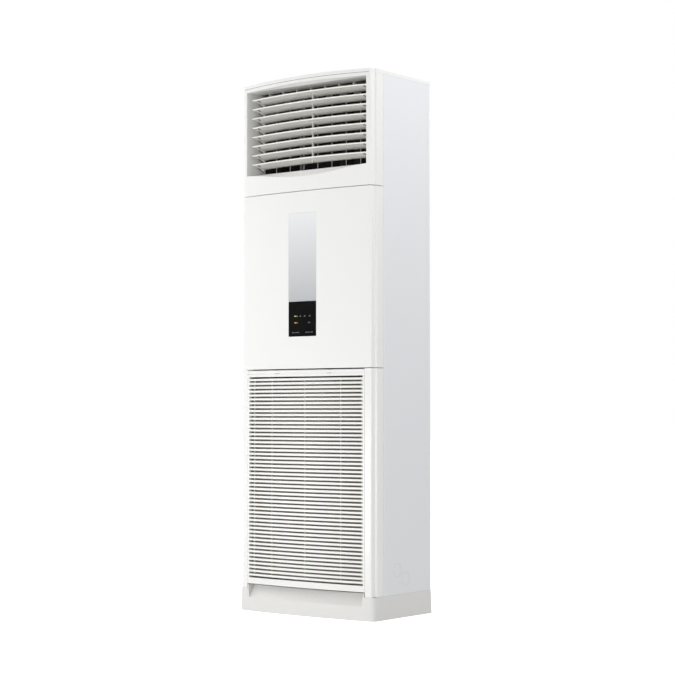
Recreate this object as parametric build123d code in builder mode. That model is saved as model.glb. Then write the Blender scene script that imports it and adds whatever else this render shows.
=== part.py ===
from build123d import *
import os
from math import asin, cos, degrees, radians, sin, sqrt

os.makedirs("parts", exist_ok=True)

# Floor standing air conditioner, indoor unit, in millimetres. The origin is on the floor under the
# middle of the body, +Z is up, the bowed front with its grille and louvers faces -Y.

# ---------------------------------------------------------------- overall sizes
height = 1880.0  # floor to the highest point of the arched lid
width = 600.0  # across the foot
depth = 359.0  # over the foot
foot_flare = 3.0  # how far the foot stands out past the cabinet at the floor
foot_top_flare = 1.0  # and at the foot's top edge
foot_height = 80.0

cab_half = width / 2 - foot_flare
front_y = -(depth / 2 - foot_flare)
back_y = -front_y

# ---------------------------------------------------------------- the bow of the front, in plan
bow_half = cab_half - 18.0  # half the chord of the bow
bow_rise = 16.0  # how far the middle stands in front of the chord
bow_radius = (bow_half**2 + bow_rise**2) / (2 * bow_rise)
bow_centre_y = front_y + bow_radius
face_half = cab_half - 8.5  # half width of the raised front face
face_round = 6.0
shoulder_y = front_y + 35.5  # where the raised face drops back to the outer shoulder
shoulder_draft = 1.0
shoulder_rise = 3.0
shoulder_round = 4.0
side_joint_y = front_y + 75.2  # where the front pieces meet the side panels
joint_groove = 1.7  # width of the shadow line there
joint_groove_depth = 1.2

# ---------------------------------------------------------------- the arch of the top, in elevation
arch_drop = 6.0  # how far the arch falls at the ends of the bow
arch_radius = (bow_half**2 + arch_drop**2) / (2 * arch_drop)
lid_rim = 12.0
lid_wall = 2.5
lid_base_z = height - 60.0  # the lid is cut out of a block that stands on this height

# ---------------------------------------------------------------- clearances and sheet
seat = 0.3  # between pieces that seat against each other
running = 0.05  # radial clearance of a pin that carries and turns
loose = 0.3  # radial clearance of the other pins of a linkage
pin_sides = 8  # small pivots that repeat are drawn with flats
link_sides = 6
steel = 1.0  # cabinet sheet
shell_wall = 3.0  # moulded front pieces

# ---------------------------------------------------------------- seams of the front, in height
seam_low = 853.0  # between the lower front frame and the middle panel
seam_high = height - 406.0  # between the middle panel and the discharge bezel
seam_gap = 2.0
overcut = 20.0  # how far a cutting body runs past the piece that it cuts


def bow_y(x, inset=0.0):
    """Y of the bowed front at x, inset inwards."""
    r = bow_radius - inset
    return bow_centre_y - sqrt(r * r - x * x)


def arch_z(x, drop=0.0):
    """Z of the arched top at x, lowered by drop."""
    return height - drop - arch_radius + sqrt(arch_radius**2 - x * x)


def corners(sketch, x, low, high):
    """Corner points of a sketch at plus and minus x with Y between low and high."""
    return [v for v in sketch.vertices() if abs(abs(v.X) - x) < 0.01 and low < v.Y < high]


def front_plan(inset, end_y):
    """Plan of the bowed front with its shouldered corners, inset all round and closed at end_y.

    The corners are rounded on the outer skin only.
    """
    face_x = face_half - inset
    step_x = face_x + shoulder_draft
    side_x = cab_half - inset
    face_y = bow_y(face_x, inset)
    step_y = shoulder_y + inset
    side_y = step_y + shoulder_rise
    with BuildSketch() as plan:
        with BuildLine():
            ThreePointArc((-face_x, face_y), (0, front_y + inset), (face_x, face_y))
            Polyline((face_x, face_y), (step_x, step_y), (side_x, side_y), (side_x, end_y))
            Line((side_x, end_y), (-side_x, end_y))
            Polyline((-side_x, end_y), (-side_x, side_y), (-step_x, step_y), (-face_x, face_y))
        make_face()
        if inset == 0:
            fillet(corners(plan, face_x, face_y - 1, face_y + 1), face_round)
            fillet(corners(plan, side_x, side_y - 1, side_y + 1), shoulder_round)
    return plan.sketch


def bow_plane(angle):
    """Upright plane through the axis of the bow; its x is the distance from that axis."""
    a = radians(angle)
    return Plane(origin=(0, bow_centre_y, 0), x_dir=(sin(a), -cos(a), 0), z_dir=(-cos(a), -sin(a), 0))


bow_axis = Axis((0, bow_centre_y, 0), (0, 0, 1))


def bow_angle(half_width):
    """Angle at the bow's axis that half_width of the front spans, in degrees."""
    return degrees(asin(half_width / bow_radius))


def bowed_slab(half_width, inset, thickness, low, high):
    """Slab that follows the bow, its front inset from the front face, between two heights."""
    span = bow_angle(half_width)
    with BuildPart() as slab:
        with BuildSketch(bow_plane(-span)):
            with Locations((bow_radius - inset - thickness / 2, (low + high) / 2)):
                Rectangle(thickness, high - low)
        revolve(axis=bow_axis, revolution_arc=2 * span)
    return slab.part


def under_arch(drop):
    """Everything under the arched top lowered by drop."""
    end = cab_half + overcut
    with BuildPart() as body:
        with BuildSketch(Plane.XZ):
            with BuildLine():
                ThreePointArc((-end, arch_z(end, drop)), (0, arch_z(0, drop)), (end, arch_z(end, drop)))
                Polyline((end, arch_z(end, drop)), (end, -overcut), (-end, -overcut), (-end, arch_z(end, drop)))
            make_face()
        extrude(amount=depth, both=True)
    return body.part


def keep(piece, name):
    """Label a finished piece and write it."""
    piece.label = name
    export_step(piece, f"parts/{name}.step")


# ================================================================ foot
foot_round = 18.0
foot_rear_round = 6.0
foot_wall = 3.0
scoop_half = cab_half - 41.0  # finger scoop under the grille
scoop_low = 49.0
scoop_depth = 30.0
scoop_rise = 43.0
scoop_side_slant = 5.0
scoop_lip_lap = 1.0  # the lip stands this much above the scoop's upper edge
scoop_top_z = scoop_low + scoop_rise
lip_root_z = foot_height - 5.0
pan_sheet = 2.0
pan_wall_height = 60.0
anchor_x = width / 2 - 50.0  # floor anchor holes
anchor_y = 120.0
anchor_hole = 6.0
pan_margin = 5.0
pan_half = cab_half - pan_margin
pan_front_y = shoulder_y + pan_margin
pan_rear_y = back_y - pan_margin
pan_length = pan_rear_y - pan_front_y
pan_middle_y = (pan_rear_y + pan_front_y) / 2
pipe_x = cab_half - 25.0  # the two refrigerant pipes stand side by side at the right
gas_y = back_y - 104.5
liquid_y = gas_y + 24.0
pipe_opening_width = 32.0  # in the pan, under the two pipes
pipe_opening_margin = 14.0  # before and behind their axes
drain_x = -(cab_half - 97.0)
drain_y = back_y - 51.5
drain_opening = 20.0  # in the pan, under the drain pipe


def foot_plan(grow):
    """Plan of the foot, grown outwards from the cabinet."""
    half = cab_half + grow
    end = back_y + grow
    front = bow_y(half, -grow)
    with BuildSketch() as plan:
        with BuildLine():
            ThreePointArc((-half, front), (0, front_y - grow), (half, front))
            Polyline((half, front), (half, end), (-half, end), (-half, front))
        make_face()
        fillet(corners(plan, half, front - 1, front + 1), foot_round)
        fillet(corners(plan, half, end - 1, end + 1), foot_rear_round)
    return plan.sketch


def foot_block(inset, past=0.0):
    """The flared foot as a solid, inset all round and run past its lower and upper faces."""
    with BuildPart() as block:
        with BuildSketch(Plane.XY.offset(-past)):
            add(foot_plan(foot_flare - inset))
        with BuildSketch(Plane.XY.offset(foot_height + past)):
            add(foot_plan(foot_top_flare - inset))
        loft(ruled=True)
    return block.part


def scoop(low, half_width):
    """Wedge that slopes inwards and up from the foot's face; its ends lean in towards the bottom."""
    run = scoop_depth + 2 * overcut
    rise = scoop_rise / scoop_depth * run
    near = bow_radius + 2 * overcut
    reach = bow_radius - scoop_depth
    start = low + scoop_rise - rise
    ceiling = foot_height + 3 * overcut
    with BuildPart() as wedge:
        with BuildSketch(bow_plane(-bow_angle(half_width + overcut))):
            Polygon(
                (near, start), (near, ceiling), (reach, ceiling), (reach, low + scoop_rise), align=None
            )
        revolve(axis=bow_axis, revolution_arc=2 * bow_angle(half_width + overcut))
        with BuildSketch(Plane.XZ.offset(-bow_centre_y)):
            bottom = half_width - scoop_side_slant
            Polygon(
                (-bottom, low), (bottom, low), (half_width, low + scoop_rise), (half_width, ceiling),
                (-half_width, ceiling), (-half_width, low + scoop_rise), align=None,
            )
        extrude(amount=bow_radius + depth, mode=Mode.INTERSECT)
    return wedge.part


with BuildPart() as skirt_inside:
    add(foot_block(foot_wall, past=1.0))
    add(bowed_slab(scoop_half, foot_wall, scoop_depth, lip_root_z, scoop_top_z + scoop_lip_lap))
    add(scoop(scoop_low - foot_wall, scoop_half + foot_wall), mode=Mode.SUBTRACT)

with BuildPart() as base_skirt:
    add(foot_block(0))
    add(bowed_slab(scoop_half + foot_wall, 0, scoop_depth - scoop_lip_lap, lip_root_z,
                   scoop_top_z - scoop_lip_lap))
    add(scoop(scoop_low, scoop_half), mode=Mode.SUBTRACT)
    add(skirt_inside.part, mode=Mode.SUBTRACT)
keep(base_skirt.part, "base_skirt")

with BuildPart() as base_pan:
    with BuildSketch():
        add(foot_plan(foot_flare - foot_wall - seat))
    extrude(amount=pan_sheet)
    with BuildSketch(Plane.XY.offset(pan_sheet)):
        with Locations((0, pan_middle_y)):
            Rectangle(2 * pan_half, pan_length)
            Rectangle(2 * (pan_half - pan_sheet), pan_length - 2 * pan_sheet, mode=Mode.SUBTRACT)
    extrude(amount=pan_wall_height)
    with BuildSketch():
        with GridLocations(2 * anchor_x, 2 * anchor_y, 2, 2):
            Circle(anchor_hole)
        with Locations((pipe_x, (gas_y + liquid_y) / 2)):
            Rectangle(pipe_opening_width, liquid_y - gas_y + 2 * pipe_opening_margin)
        with Locations((drain_x, drain_y)):
            RegularPolygon(drain_opening, pin_sides)
    extrude(amount=pan_sheet, mode=Mode.SUBTRACT)
keep(base_pan.part, "base_pan")

# ================================================================ cabinet of folded sheet
side_flange = 20.0
side_bend = 5.0
side_top = arch_z(cab_half, lid_rim) - seat
crease_y = 151.0  # pressed line near the rear edge
crease_width = 2.0
press_depth = 0.4
knockouts = [(23.0, 131.0), (-24.0, 163.0)]  # pipe knockouts in Y and Z
knockout_radius = 23.0
knockout_sides = 20
rear_half = cab_half - side_bend - 2.0
screw_x = cab_half - side_flange + 6.5
screw_heights = (150.0, height / 2 + 30.0, height - 90.0)
screw_hole = 4.2  # square, for a clip nut
screw_radius = 1.9
screw_head = 4.0
screw_head_height = 2.2
screw_length = 8.0
bracket_width = 120.0  # wall bracket against tipping
bracket_height = 60.0
bracket_sheet = 2.0
bracket_z = height - 65.0
bracket_hole = 4.5
bracket_spacing = 80.0
bracket_reach = 12.0  # clearance hole behind the bracket's holes
panel_bottom = foot_height + seat


def channel_plan(inset):
    """Plan of the right side panel's folded channel, inset by the sheet's thickness."""
    low = side_joint_y + seat + inset
    high = back_y - inset
    out = cab_half - inset
    edge = cab_half - side_flange - inset
    with BuildSketch() as plan:
        with Locations(((out + edge) / 2, (low + high) / 2)):
            Rectangle(out - edge, high - low)
        fillet(corners(plan, out, low - 1, high + 1), side_bend - inset)
    return plan.sketch


def y_plane(y):
    """Upright plane across the body at y: its x is X, its y is Z and it faces the front."""
    return Plane.XZ.offset(-y)


with BuildPart() as side_panel_right:
    with BuildSketch(Plane.XY.offset(panel_bottom)):
        add(channel_plan(0))
        add(channel_plan(steel), mode=Mode.SUBTRACT)
    extrude(amount=side_top - panel_bottom)
    with BuildSketch(Plane.YZ.offset(cab_half)):
        for y, z in knockouts:
            with Locations((y, z)):
                RegularPolygon(knockout_radius, knockout_sides)
        with Locations((crease_y, (panel_bottom + side_top) / 2)):
            Rectangle(crease_width, height)
    extrude(amount=-press_depth, mode=Mode.SUBTRACT)
    with BuildSketch(y_plane(back_y)):
        with Locations(*[(screw_x, z) for z in screw_heights]):
            Rectangle(screw_hole, screw_hole)
    extrude(amount=steel, mode=Mode.SUBTRACT)
keep(side_panel_right.part, "side_panel_right")

with BuildPart() as side_panel_left:
    mirror(side_panel_right.part, about=Plane.YZ)
keep(side_panel_left.part, "side_panel_left")

with BuildPart() as rear_panel:
    with BuildSketch(y_plane(back_y - steel)):
        with Locations((0, (panel_bottom + height) / 2)):
            Rectangle(2 * rear_half, height - panel_bottom)
    extrude(amount=steel)
    add(under_arch(lid_rim + seat), mode=Mode.INTERSECT)
    with BuildSketch(y_plane(back_y - steel)):
        with Locations(*[(side * screw_x, z) for side in (-1, 1) for z in screw_heights]):
            Rectangle(screw_hole, screw_hole)
        with Locations((0, bracket_z)):
            with GridLocations(bracket_spacing, 1, 2, 1):
                Rectangle(bracket_reach, bracket_reach)
    extrude(amount=steel, mode=Mode.SUBTRACT)
keep(rear_panel.part, "rear_panel")

with BuildPart() as wall_bracket:
    with BuildSketch(y_plane(back_y - steel)):
        with Locations((0, bracket_z)):
            Rectangle(bracket_width, bracket_height)
            with GridLocations(bracket_spacing, 1, 2, 1):
                Circle(bracket_hole, mode=Mode.SUBTRACT)
    extrude(amount=-bracket_sheet)
keep(wall_bracket.part, "wall_bracket")

with BuildPart() as cabinet_screws:
    with BuildSketch(y_plane(back_y)):
        with Locations(*[(side * screw_x, z) for side in (-1, 1) for z in screw_heights]):
            RegularPolygon(screw_head, link_sides)
    extrude(amount=-screw_head_height)
    with BuildSketch(y_plane(back_y)):
        with Locations(*[(side * screw_x, z) for side in (-1, 1) for z in screw_heights]):
            RegularPolygon(screw_radius, link_sides)
    extrude(amount=screw_length)
keep(cabinet_screws.part, "cabinet_screws")

with BuildPart() as lid_inside:
    with BuildSketch(Plane.XY.offset(lid_base_z)):
        add(front_plan(lid_wall, back_y - lid_wall))
    extrude(amount=height - lid_base_z + overcut)
    add(under_arch(lid_wall), mode=Mode.INTERSECT)

with BuildPart() as top_cover:
    with BuildSketch(Plane.XY.offset(lid_base_z)):
        add(front_plan(0, back_y))
    extrude(amount=height - lid_base_z + overcut)
    add(under_arch(0), mode=Mode.INTERSECT)
    add(under_arch(lid_rim), mode=Mode.SUBTRACT)
    add(lid_inside.part, mode=Mode.SUBTRACT)
keep(top_cover.part, "top_cover")


def joint_lines(low, high):
    """Rebates that leave a shadow line where a front piece meets the side panels."""
    with BuildPart() as lines:
        with BuildSketch(Plane.XY.offset(low)):
            with Locations((0, side_joint_y - joint_groove / 2 + joint_groove)):
                Rectangle(2 * cab_half + joint_groove, 3 * joint_groove)
                Rectangle(2 * (cab_half - joint_groove_depth), 3 * joint_groove, mode=Mode.SUBTRACT)
        extrude(amount=high - low)
    return lines.part


# ================================================================ discharge bezel
bezel_bottom = seam_high + seam_gap / 2
duct_half = cab_half - 29.0  # inside of the discharge opening
duct_high = 301.0
duct_top = height - 30.0
duct_floor = duct_top - duct_high
sleeve_y = front_y + 116.5  # rear end of the bezel's sleeve
mouth_front_y = front_y - 6.0  # the flared mouth runs from here
mouth_rear_y = front_y + 21.0  # to here
mouth_flare = 5.0  # at the sides
mouth_top_rise = 9.5  # at the middle of the top edge
mouth_top_end_rise = 1.0
mouth_sill_drop = 29.5  # at the middle of the sill, which makes its smile
mouth_rear_bow = 0.4  # of the upper and lower edges at the rear
flange_width = 12.0  # inner stiffening flanges
skirt_lap = 5.0  # how far the shells' inner outline runs past their rear edge

louver_count = 8
louver_top_z = duct_top - 35.5  # pivot of the top louver
louver_low_z = duct_floor + 31.7  # and of the lowest
louver_pitch = (louver_top_z - louver_low_z) / (louver_count - 1)
louver_pivot_y = front_y + 94.5
louver_tilt = 10.0  # front edges up, as at rest
louver_inset = 20.0  # front edges behind the bowed face
louver_half = duct_half - 8.0
louver_width = 74.0  # along the louver, the same all the way across
louver_thick = 3.0
louver_hub = 5.5
louver_pin = 3.0
louver_link_reach = 35.0  # link pin ahead of the pivot, along the louver
louver_z = [louver_top_z - louver_pitch * i for i in range(louver_count)]


def mouth(grow):
    """Flared mouth of the discharge opening, grown all round."""
    with BuildPart() as block:
        for y, flare, top_mid, top_end, sill in (
            (mouth_front_y, mouth_flare, mouth_top_rise, mouth_top_end_rise, mouth_sill_drop),
            (mouth_rear_y, 0, mouth_rear_bow, 0, mouth_rear_bow),
        ):
            half = duct_half + flare + grow
            low = duct_floor - grow
            high = duct_top + grow
            with BuildSketch(y_plane(y)):
                with BuildLine():
                    ThreePointArc((-half, low), (0, low - sill), (half, low))
                    Line((half, low), (half, high + top_end))
                    ThreePointArc((half, high + top_end), (0, high + top_mid), (-half, high + top_end))
                    Line((-half, high + top_end), (-half, low))
                make_face()
        loft(ruled=True)
    return block.part


with BuildPart() as mouth_rim:
    with BuildSketch(Plane.XY.offset(bezel_bottom)):
        add(front_plan(0, side_joint_y))
    extrude(amount=height - bezel_bottom)
    add(mouth(shell_wall), mode=Mode.INTERSECT)

with BuildPart() as discharge_bezel:
    with BuildSketch(Plane.XY.offset(bezel_bottom)):
        add(front_plan(0, side_joint_y))
        add(front_plan(shell_wall, side_joint_y + skirt_lap), mode=Mode.SUBTRACT)
    extrude(amount=height - bezel_bottom)
    with BuildSketch(Plane.XY.offset(bezel_bottom)):
        add(front_plan(shell_wall / 2, side_joint_y - skirt_lap))
        add(front_plan(shell_wall + flange_width, side_joint_y), mode=Mode.SUBTRACT)
    extrude(amount=shell_wall)
    with BuildSketch(Plane.XY.offset(duct_floor - shell_wall)):
        add(front_plan(shell_wall / 2, sleeve_y))
        Rectangle(2 * (duct_half + shell_wall), 2 * depth, mode=Mode.INTERSECT)
    extrude(amount=duct_top - duct_floor + 2 * shell_wall)
    add(mouth_rim.part)
    with BuildSketch(Plane.XY.offset(duct_floor)):
        Rectangle(2 * duct_half, 2 * depth)
    extrude(amount=duct_top - duct_floor, mode=Mode.SUBTRACT)
    add(mouth(0), mode=Mode.SUBTRACT)
    add(under_arch(lid_rim + seat), mode=Mode.INTERSECT)
    add(joint_lines(bezel_bottom - 1, height), mode=Mode.SUBTRACT)
    with BuildSketch(Plane.YZ):
        with Locations(*[(louver_pivot_y, z) for z in louver_z]):
            RegularPolygon(louver_pin + running, link_sides, major_radius=False)
    extrude(amount=duct_half + shell_wall + 1, both=True, mode=Mode.SUBTRACT)
keep(discharge_bezel.part, "discharge_bezel")

# ================================================================ louvers and their link
hub_root = 6.0  # length of the round hub that lies on the louver
link_window = 14.0  # opening in each louver that the link passes through
link_window_width = 9.0
link_pin = 1.5
link_width = 8.0
link_thick = 4.0
link_end = 7.0
tilt = radians(louver_tilt)


def louver_reach(x):
    """From the pivot to the front edge at x, along the louver."""
    return (louver_pivot_y - bow_y(x) - louver_inset) / cos(tilt)


def louver_plane(z):
    """Middle plane of the louver that pivots at z: x along the louver, y towards the back."""
    return Plane(origin=(0, louver_pivot_y, z), x_dir=(1, 0, 0), z_dir=(0, sin(tilt), cos(tilt)))


def link_point(z):
    """Y and Z of the link pin of the louver that pivots at z."""
    return louver_pivot_y - louver_link_reach * cos(tilt), z + louver_link_reach * sin(tilt)


def louver_body(z):
    """One bowed louver with its two hubs and pins and the cross pin for the link."""
    end_y = -louver_reach(louver_half)
    middle_y = -louver_reach(0)
    rear_y = end_y + louver_width
    with BuildPart() as louver:
        with BuildSketch(louver_plane(z)):
            with BuildLine():
                ThreePointArc((-louver_half, end_y), (0, middle_y), (louver_half, end_y))
                Line((louver_half, end_y), (louver_half, rear_y))
                ThreePointArc((louver_half, rear_y), (0, middle_y + louver_width), (-louver_half, rear_y))
                Line((-louver_half, rear_y), (-louver_half, end_y))
            make_face()
            with Locations((0, -louver_link_reach)):
                Rectangle(link_window_width, link_window, mode=Mode.SUBTRACT)
        extrude(amount=louver_thick / 2, both=True)
        with BuildSketch(Plane.YZ.offset(-link_window_width / 2 - 1)):
            with Locations(link_point(z)):
                RegularPolygon(link_pin, link_sides)
        extrude(amount=link_window_width + 2)
        for side in (-1, 1):
            with BuildSketch(Plane.YZ.offset(side * (louver_half - hub_root))):
                with Locations((louver_pivot_y, z)):
                    RegularPolygon(louver_hub, link_sides)
            extrude(amount=side * (duct_half - seat - louver_half + hub_root))
            with BuildSketch(Plane.YZ.offset(side * (duct_half - seat))):
                with Locations((louver_pivot_y, z)):
                    RegularPolygon(louver_pin, link_sides)
            extrude(amount=side * (shell_wall + seat))
    return louver.part


for number, z in enumerate(louver_z, start=1):
    keep(louver_body(z), f"louver_{number}")

with BuildPart() as louver_link:
    link_y, link_top_z = link_point(louver_z[0])
    link_low_z = link_point(louver_z[-1])[1]
    with BuildSketch(Plane.YZ.offset(-link_thick / 2)):
        with Locations((link_y, (link_top_z + link_low_z) / 2)):
            Rectangle(link_width, link_top_z - link_low_z + 2 * link_end)
        with Locations((link_y, link_top_z)):
            RegularPolygon(link_pin + running, link_sides, major_radius=False, mode=Mode.SUBTRACT)
        with Locations(*[link_point(z) for z in louver_z[1:]]):
            RegularPolygon(link_pin + loose, link_sides, major_radius=False, mode=Mode.SUBTRACT)
    extrude(amount=link_thick)
keep(louver_link.part, "louver_link")

# ================================================================ outlet duct and swing vanes
duct_wall = 4.0
duct_end_y = 0.0
vane_count = 8
vane_pitch = (2 * duct_half - 24.0) / vane_count
vane_front_y = front_y + 126.5
vane_pivot_y = front_y + 148.5
vane_rear_y = front_y + 170.5
vane_thick = 2.0
vane_gap = 6.5  # above and below a vane
vane_pin = 2.0
vane_arm = 16.0  # from the pivot back to the link's pin
vane_link_z = duct_floor + 17.0
vane_notch = 14.0
vane_notch_depth = 13.0
vane_link_width = 8.0
vane_link_thick = 3.0
vane_link_end = 6.0
crank_x = duct_half - 18.0
crank_hub = 5.0
crank_thick = 3.0
crank_gap = 0.5
crank_shaft = 2.5
motor_can = 14.0
motor_can_height = 24.0
motor_ear = 42.0
motor_ear_width = 12.0
motor_ear_sheet = 1.5
motor_bore_depth = 18.0
crank_end_gap = 1.0  # between the crank's shaft and the bottom of its bore
crank_pin_top = 2.0  # how far the crank's pin stands out of the link
shaft_window = 1.5  # clearance round that shaft in the duct's floor
vane_x = [vane_pitch * (i - (vane_count - 1) / 2) for i in range(vane_count)]
vane_pin_y = vane_pivot_y + vane_arm

with BuildPart() as outlet_duct:
    with BuildSketch(y_plane(duct_end_y)):
        with Locations((0, (duct_floor + duct_top) / 2)):
            Rectangle(2 * (duct_half + duct_wall), duct_top - duct_floor + 2 * duct_wall)
            Rectangle(2 * duct_half, duct_top - duct_floor, mode=Mode.SUBTRACT)
    extrude(amount=duct_end_y - sleeve_y - seat)
    with BuildSketch(Plane.XY.offset(duct_floor - duct_wall)):
        with Locations(*[(x, vane_pivot_y) for x in vane_x]):
            RegularPolygon(vane_pin + running, link_sides, major_radius=False)
    extrude(amount=duct_top - duct_floor + 2 * duct_wall, mode=Mode.SUBTRACT)
    with BuildSketch(Plane.XY.offset(duct_floor - duct_wall)):
        with Locations((crank_x, vane_pivot_y)):
            RegularPolygon(crank_shaft + shaft_window, pin_sides)
    extrude(amount=duct_wall, mode=Mode.SUBTRACT)
keep(outlet_duct.part, "outlet_duct")


def vane_body(x):
    """One upright vane with its two pivot pins and the notch and pin for the link."""
    low = duct_floor + vane_gap
    high = duct_top - vane_gap
    with BuildPart() as vane:
        with BuildSketch(Plane.YZ.offset(x - vane_thick / 2)):
            with Locations(((vane_front_y + vane_rear_y) / 2, (low + high) / 2)):
                Rectangle(vane_rear_y - vane_front_y, high - low)
            with Locations((vane_rear_y - vane_notch_depth / 2, vane_link_z)):
                Rectangle(vane_notch_depth, vane_notch, mode=Mode.SUBTRACT)
        extrude(amount=vane_thick)
        with BuildSketch(Plane.XY.offset(vane_link_z - vane_notch / 2)):
            with Locations((x, vane_pin_y)):
                RegularPolygon(link_pin, link_sides)
        extrude(amount=vane_notch)
        for end, way in ((low, -1), (high, 1)):
            with BuildSketch(Plane.XY.offset(end - way * vane_gap)):
                with Locations((x, vane_pivot_y)):
                    RegularPolygon(vane_pin, link_sides)
            extrude(amount=way * (2 * vane_gap + duct_wall))
    return vane.part


for number, x in enumerate(vane_x, start=1):
    keep(vane_body(x), f"vane_{number}")

with BuildPart() as vane_link:
    with BuildSketch(Plane.XY.offset(vane_link_z - vane_link_thick / 2)):
        with Locations(((vane_x[0] + crank_x) / 2, vane_pin_y)):
            Rectangle(crank_x - vane_x[0] + 2 * vane_link_end, vane_link_width)
        with Locations((vane_x[0], vane_pin_y)):
            RegularPolygon(link_pin + running, link_sides, major_radius=False, mode=Mode.SUBTRACT)
        with Locations((crank_x, vane_pin_y), *[(x, vane_pin_y) for x in vane_x[1:]]):
            RegularPolygon(link_pin + loose, link_sides, major_radius=False, mode=Mode.SUBTRACT)
    extrude(amount=vane_link_thick)
keep(vane_link.part, "vane_link")

with BuildPart() as swing_crank:
    crank_z = vane_link_z - vane_link_thick / 2 - crank_gap - crank_thick
    with BuildSketch(Plane.XY.offset(crank_z)):
        with Locations((crank_x, vane_pivot_y + vane_arm / 2)):
            Rectangle(2 * crank_hub, vane_arm + 2 * crank_hub)
    extrude(amount=crank_thick)
    with BuildSketch(Plane.XY.offset(crank_z + crank_thick)):
        with Locations((crank_x, vane_pin_y)):
            RegularPolygon(link_pin, link_sides)
    extrude(amount=crank_gap + vane_link_thick + crank_pin_top)
    with BuildSketch(Plane.XY.offset(crank_z)):
        with Locations((crank_x, vane_pivot_y)):
            RegularPolygon(crank_shaft, pin_sides)
    extrude(amount=-(crank_z - duct_floor + duct_wall + motor_bore_depth - crank_end_gap))
keep(swing_crank.part, "swing_crank")

with BuildPart() as swing_motor:
    with BuildSketch(Plane.XY.offset(duct_floor - duct_wall)):
        with Locations((crank_x, vane_pivot_y)):
            Rectangle(motor_ear_width, motor_ear)
    extrude(amount=-motor_ear_sheet)
    with BuildSketch(Plane.XY.offset(duct_floor - duct_wall)):
        with Locations((crank_x, vane_pivot_y)):
            RegularPolygon(motor_can, 2 * pin_sides)
    extrude(amount=-motor_can_height)
    with BuildSketch(Plane.XY.offset(duct_floor - duct_wall)):
        with Locations((crank_x, vane_pivot_y)):
            RegularPolygon(crank_shaft + running, pin_sides, major_radius=False)
    extrude(amount=-motor_bore_depth, mode=Mode.SUBTRACT)
keep(swing_motor.part, "swing_motor")

# ================================================================ middle panel and its display strip
panel_low = seam_low + seam_gap / 2
panel_high = seam_high - seam_gap / 2
strip_half = 62.0
strip_low = panel_low + 112.0
strip_split = strip_low + 122.0
strip_high = panel_high - 75.0
strip_depth = 2.2
strip_gap = 0.3
strip_backing = 2.0
strip_margin = 5.0
window_half = 52.0
window_low = strip_low + 8.0
window_high = strip_split - 6.0
window_z = (window_low + window_high) / 2
board_sheet = 1.6
board_gap = 4.0
post = 4.0
light_size = 4.0
light_height = 3.0
light_row_rise = 71.0  # over the foot of the strip
timer_row_rise = 48.0
light_row_z = strip_low + light_row_rise
timer_row_z = strip_low + timer_row_rise
light_places = [(x, light_row_z) for x in (-30.0, -10.0, 11.0, 32.0)] + [(-30.0, timer_row_z)]
strip_back = strip_depth + strip_backing + 0.8  # rear face of the pad that carries the strip
pad_root = 0.5  # how deep the pad is sunk into the shell

with BuildPart() as front_panel:
    with BuildSketch(Plane.XY.offset(panel_low)):
        add(front_plan(0, side_joint_y))
        add(front_plan(shell_wall, side_joint_y + skirt_lap), mode=Mode.SUBTRACT)
    extrude(amount=panel_high - panel_low)
    for z in (panel_low, panel_high - shell_wall):
        with BuildSketch(Plane.XY.offset(z)):
            add(front_plan(shell_wall / 2, side_joint_y - skirt_lap))
            add(front_plan(shell_wall + flange_width, side_joint_y), mode=Mode.SUBTRACT)
        extrude(amount=shell_wall)
    add(bowed_slab(strip_half + strip_margin, shell_wall - pad_root, strip_back - shell_wall + pad_root,
                   strip_low - strip_margin, strip_high + strip_margin))
    add(bowed_slab(strip_half, -1, strip_depth + 1, strip_low, strip_high), mode=Mode.SUBTRACT)
    with BuildSketch(y_plane(shoulder_y)):
        with Locations((0, window_z)):
            Rectangle(2 * window_half, window_high - window_low)
    extrude(amount=depth, mode=Mode.SUBTRACT)
    add(joint_lines(panel_low - 1, panel_high + 1), mode=Mode.SUBTRACT)
keep(front_panel.part, "front_panel")

display_plate = bowed_slab(
    strip_half - strip_gap, strip_gap, strip_depth - strip_gap, strip_split + strip_gap, strip_high - strip_gap
)
keep(display_plate, "display_plate")
display_window = bowed_slab(
    strip_half - strip_gap, strip_gap, strip_depth - strip_gap, strip_low + strip_gap, strip_split
)
keep(display_window, "display_window")

with BuildPart() as display_board:
    board_y = front_y + strip_back + board_gap
    with BuildSketch(y_plane(board_y + board_sheet)):
        with Locations((0, window_z)):
            Rectangle(2 * (window_half + strip_margin), window_high - window_low + 2 * strip_margin)
    extrude(amount=board_sheet)
    with BuildSketch(y_plane(board_y)):
        with Locations(*light_places):
            Rectangle(light_size, light_size)
    extrude(amount=light_height)
    with BuildSketch(y_plane(board_y)):
        with Locations((0, window_z)):
            with GridLocations(2 * window_half + strip_margin, window_high - window_low + strip_margin, 2, 2):
                Rectangle(post, post)
    extrude(amount=board_y - bow_y(window_half + strip_margin, strip_back) - seat)
keep(display_board.part, "display_board")

# ================================================================ lower front frame
frame_inner = cab_half - 35.0
frame_bottom = foot_height + seat
frame_top = seam_low - seam_gap / 2
return_y = front_y + 51.5
rail_front_y = front_y + 31.5
rail_depth = 12.0
rail_low_z = 98.0
rail_high_z = seam_low - 24.0
rail_height = 18.0

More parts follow.
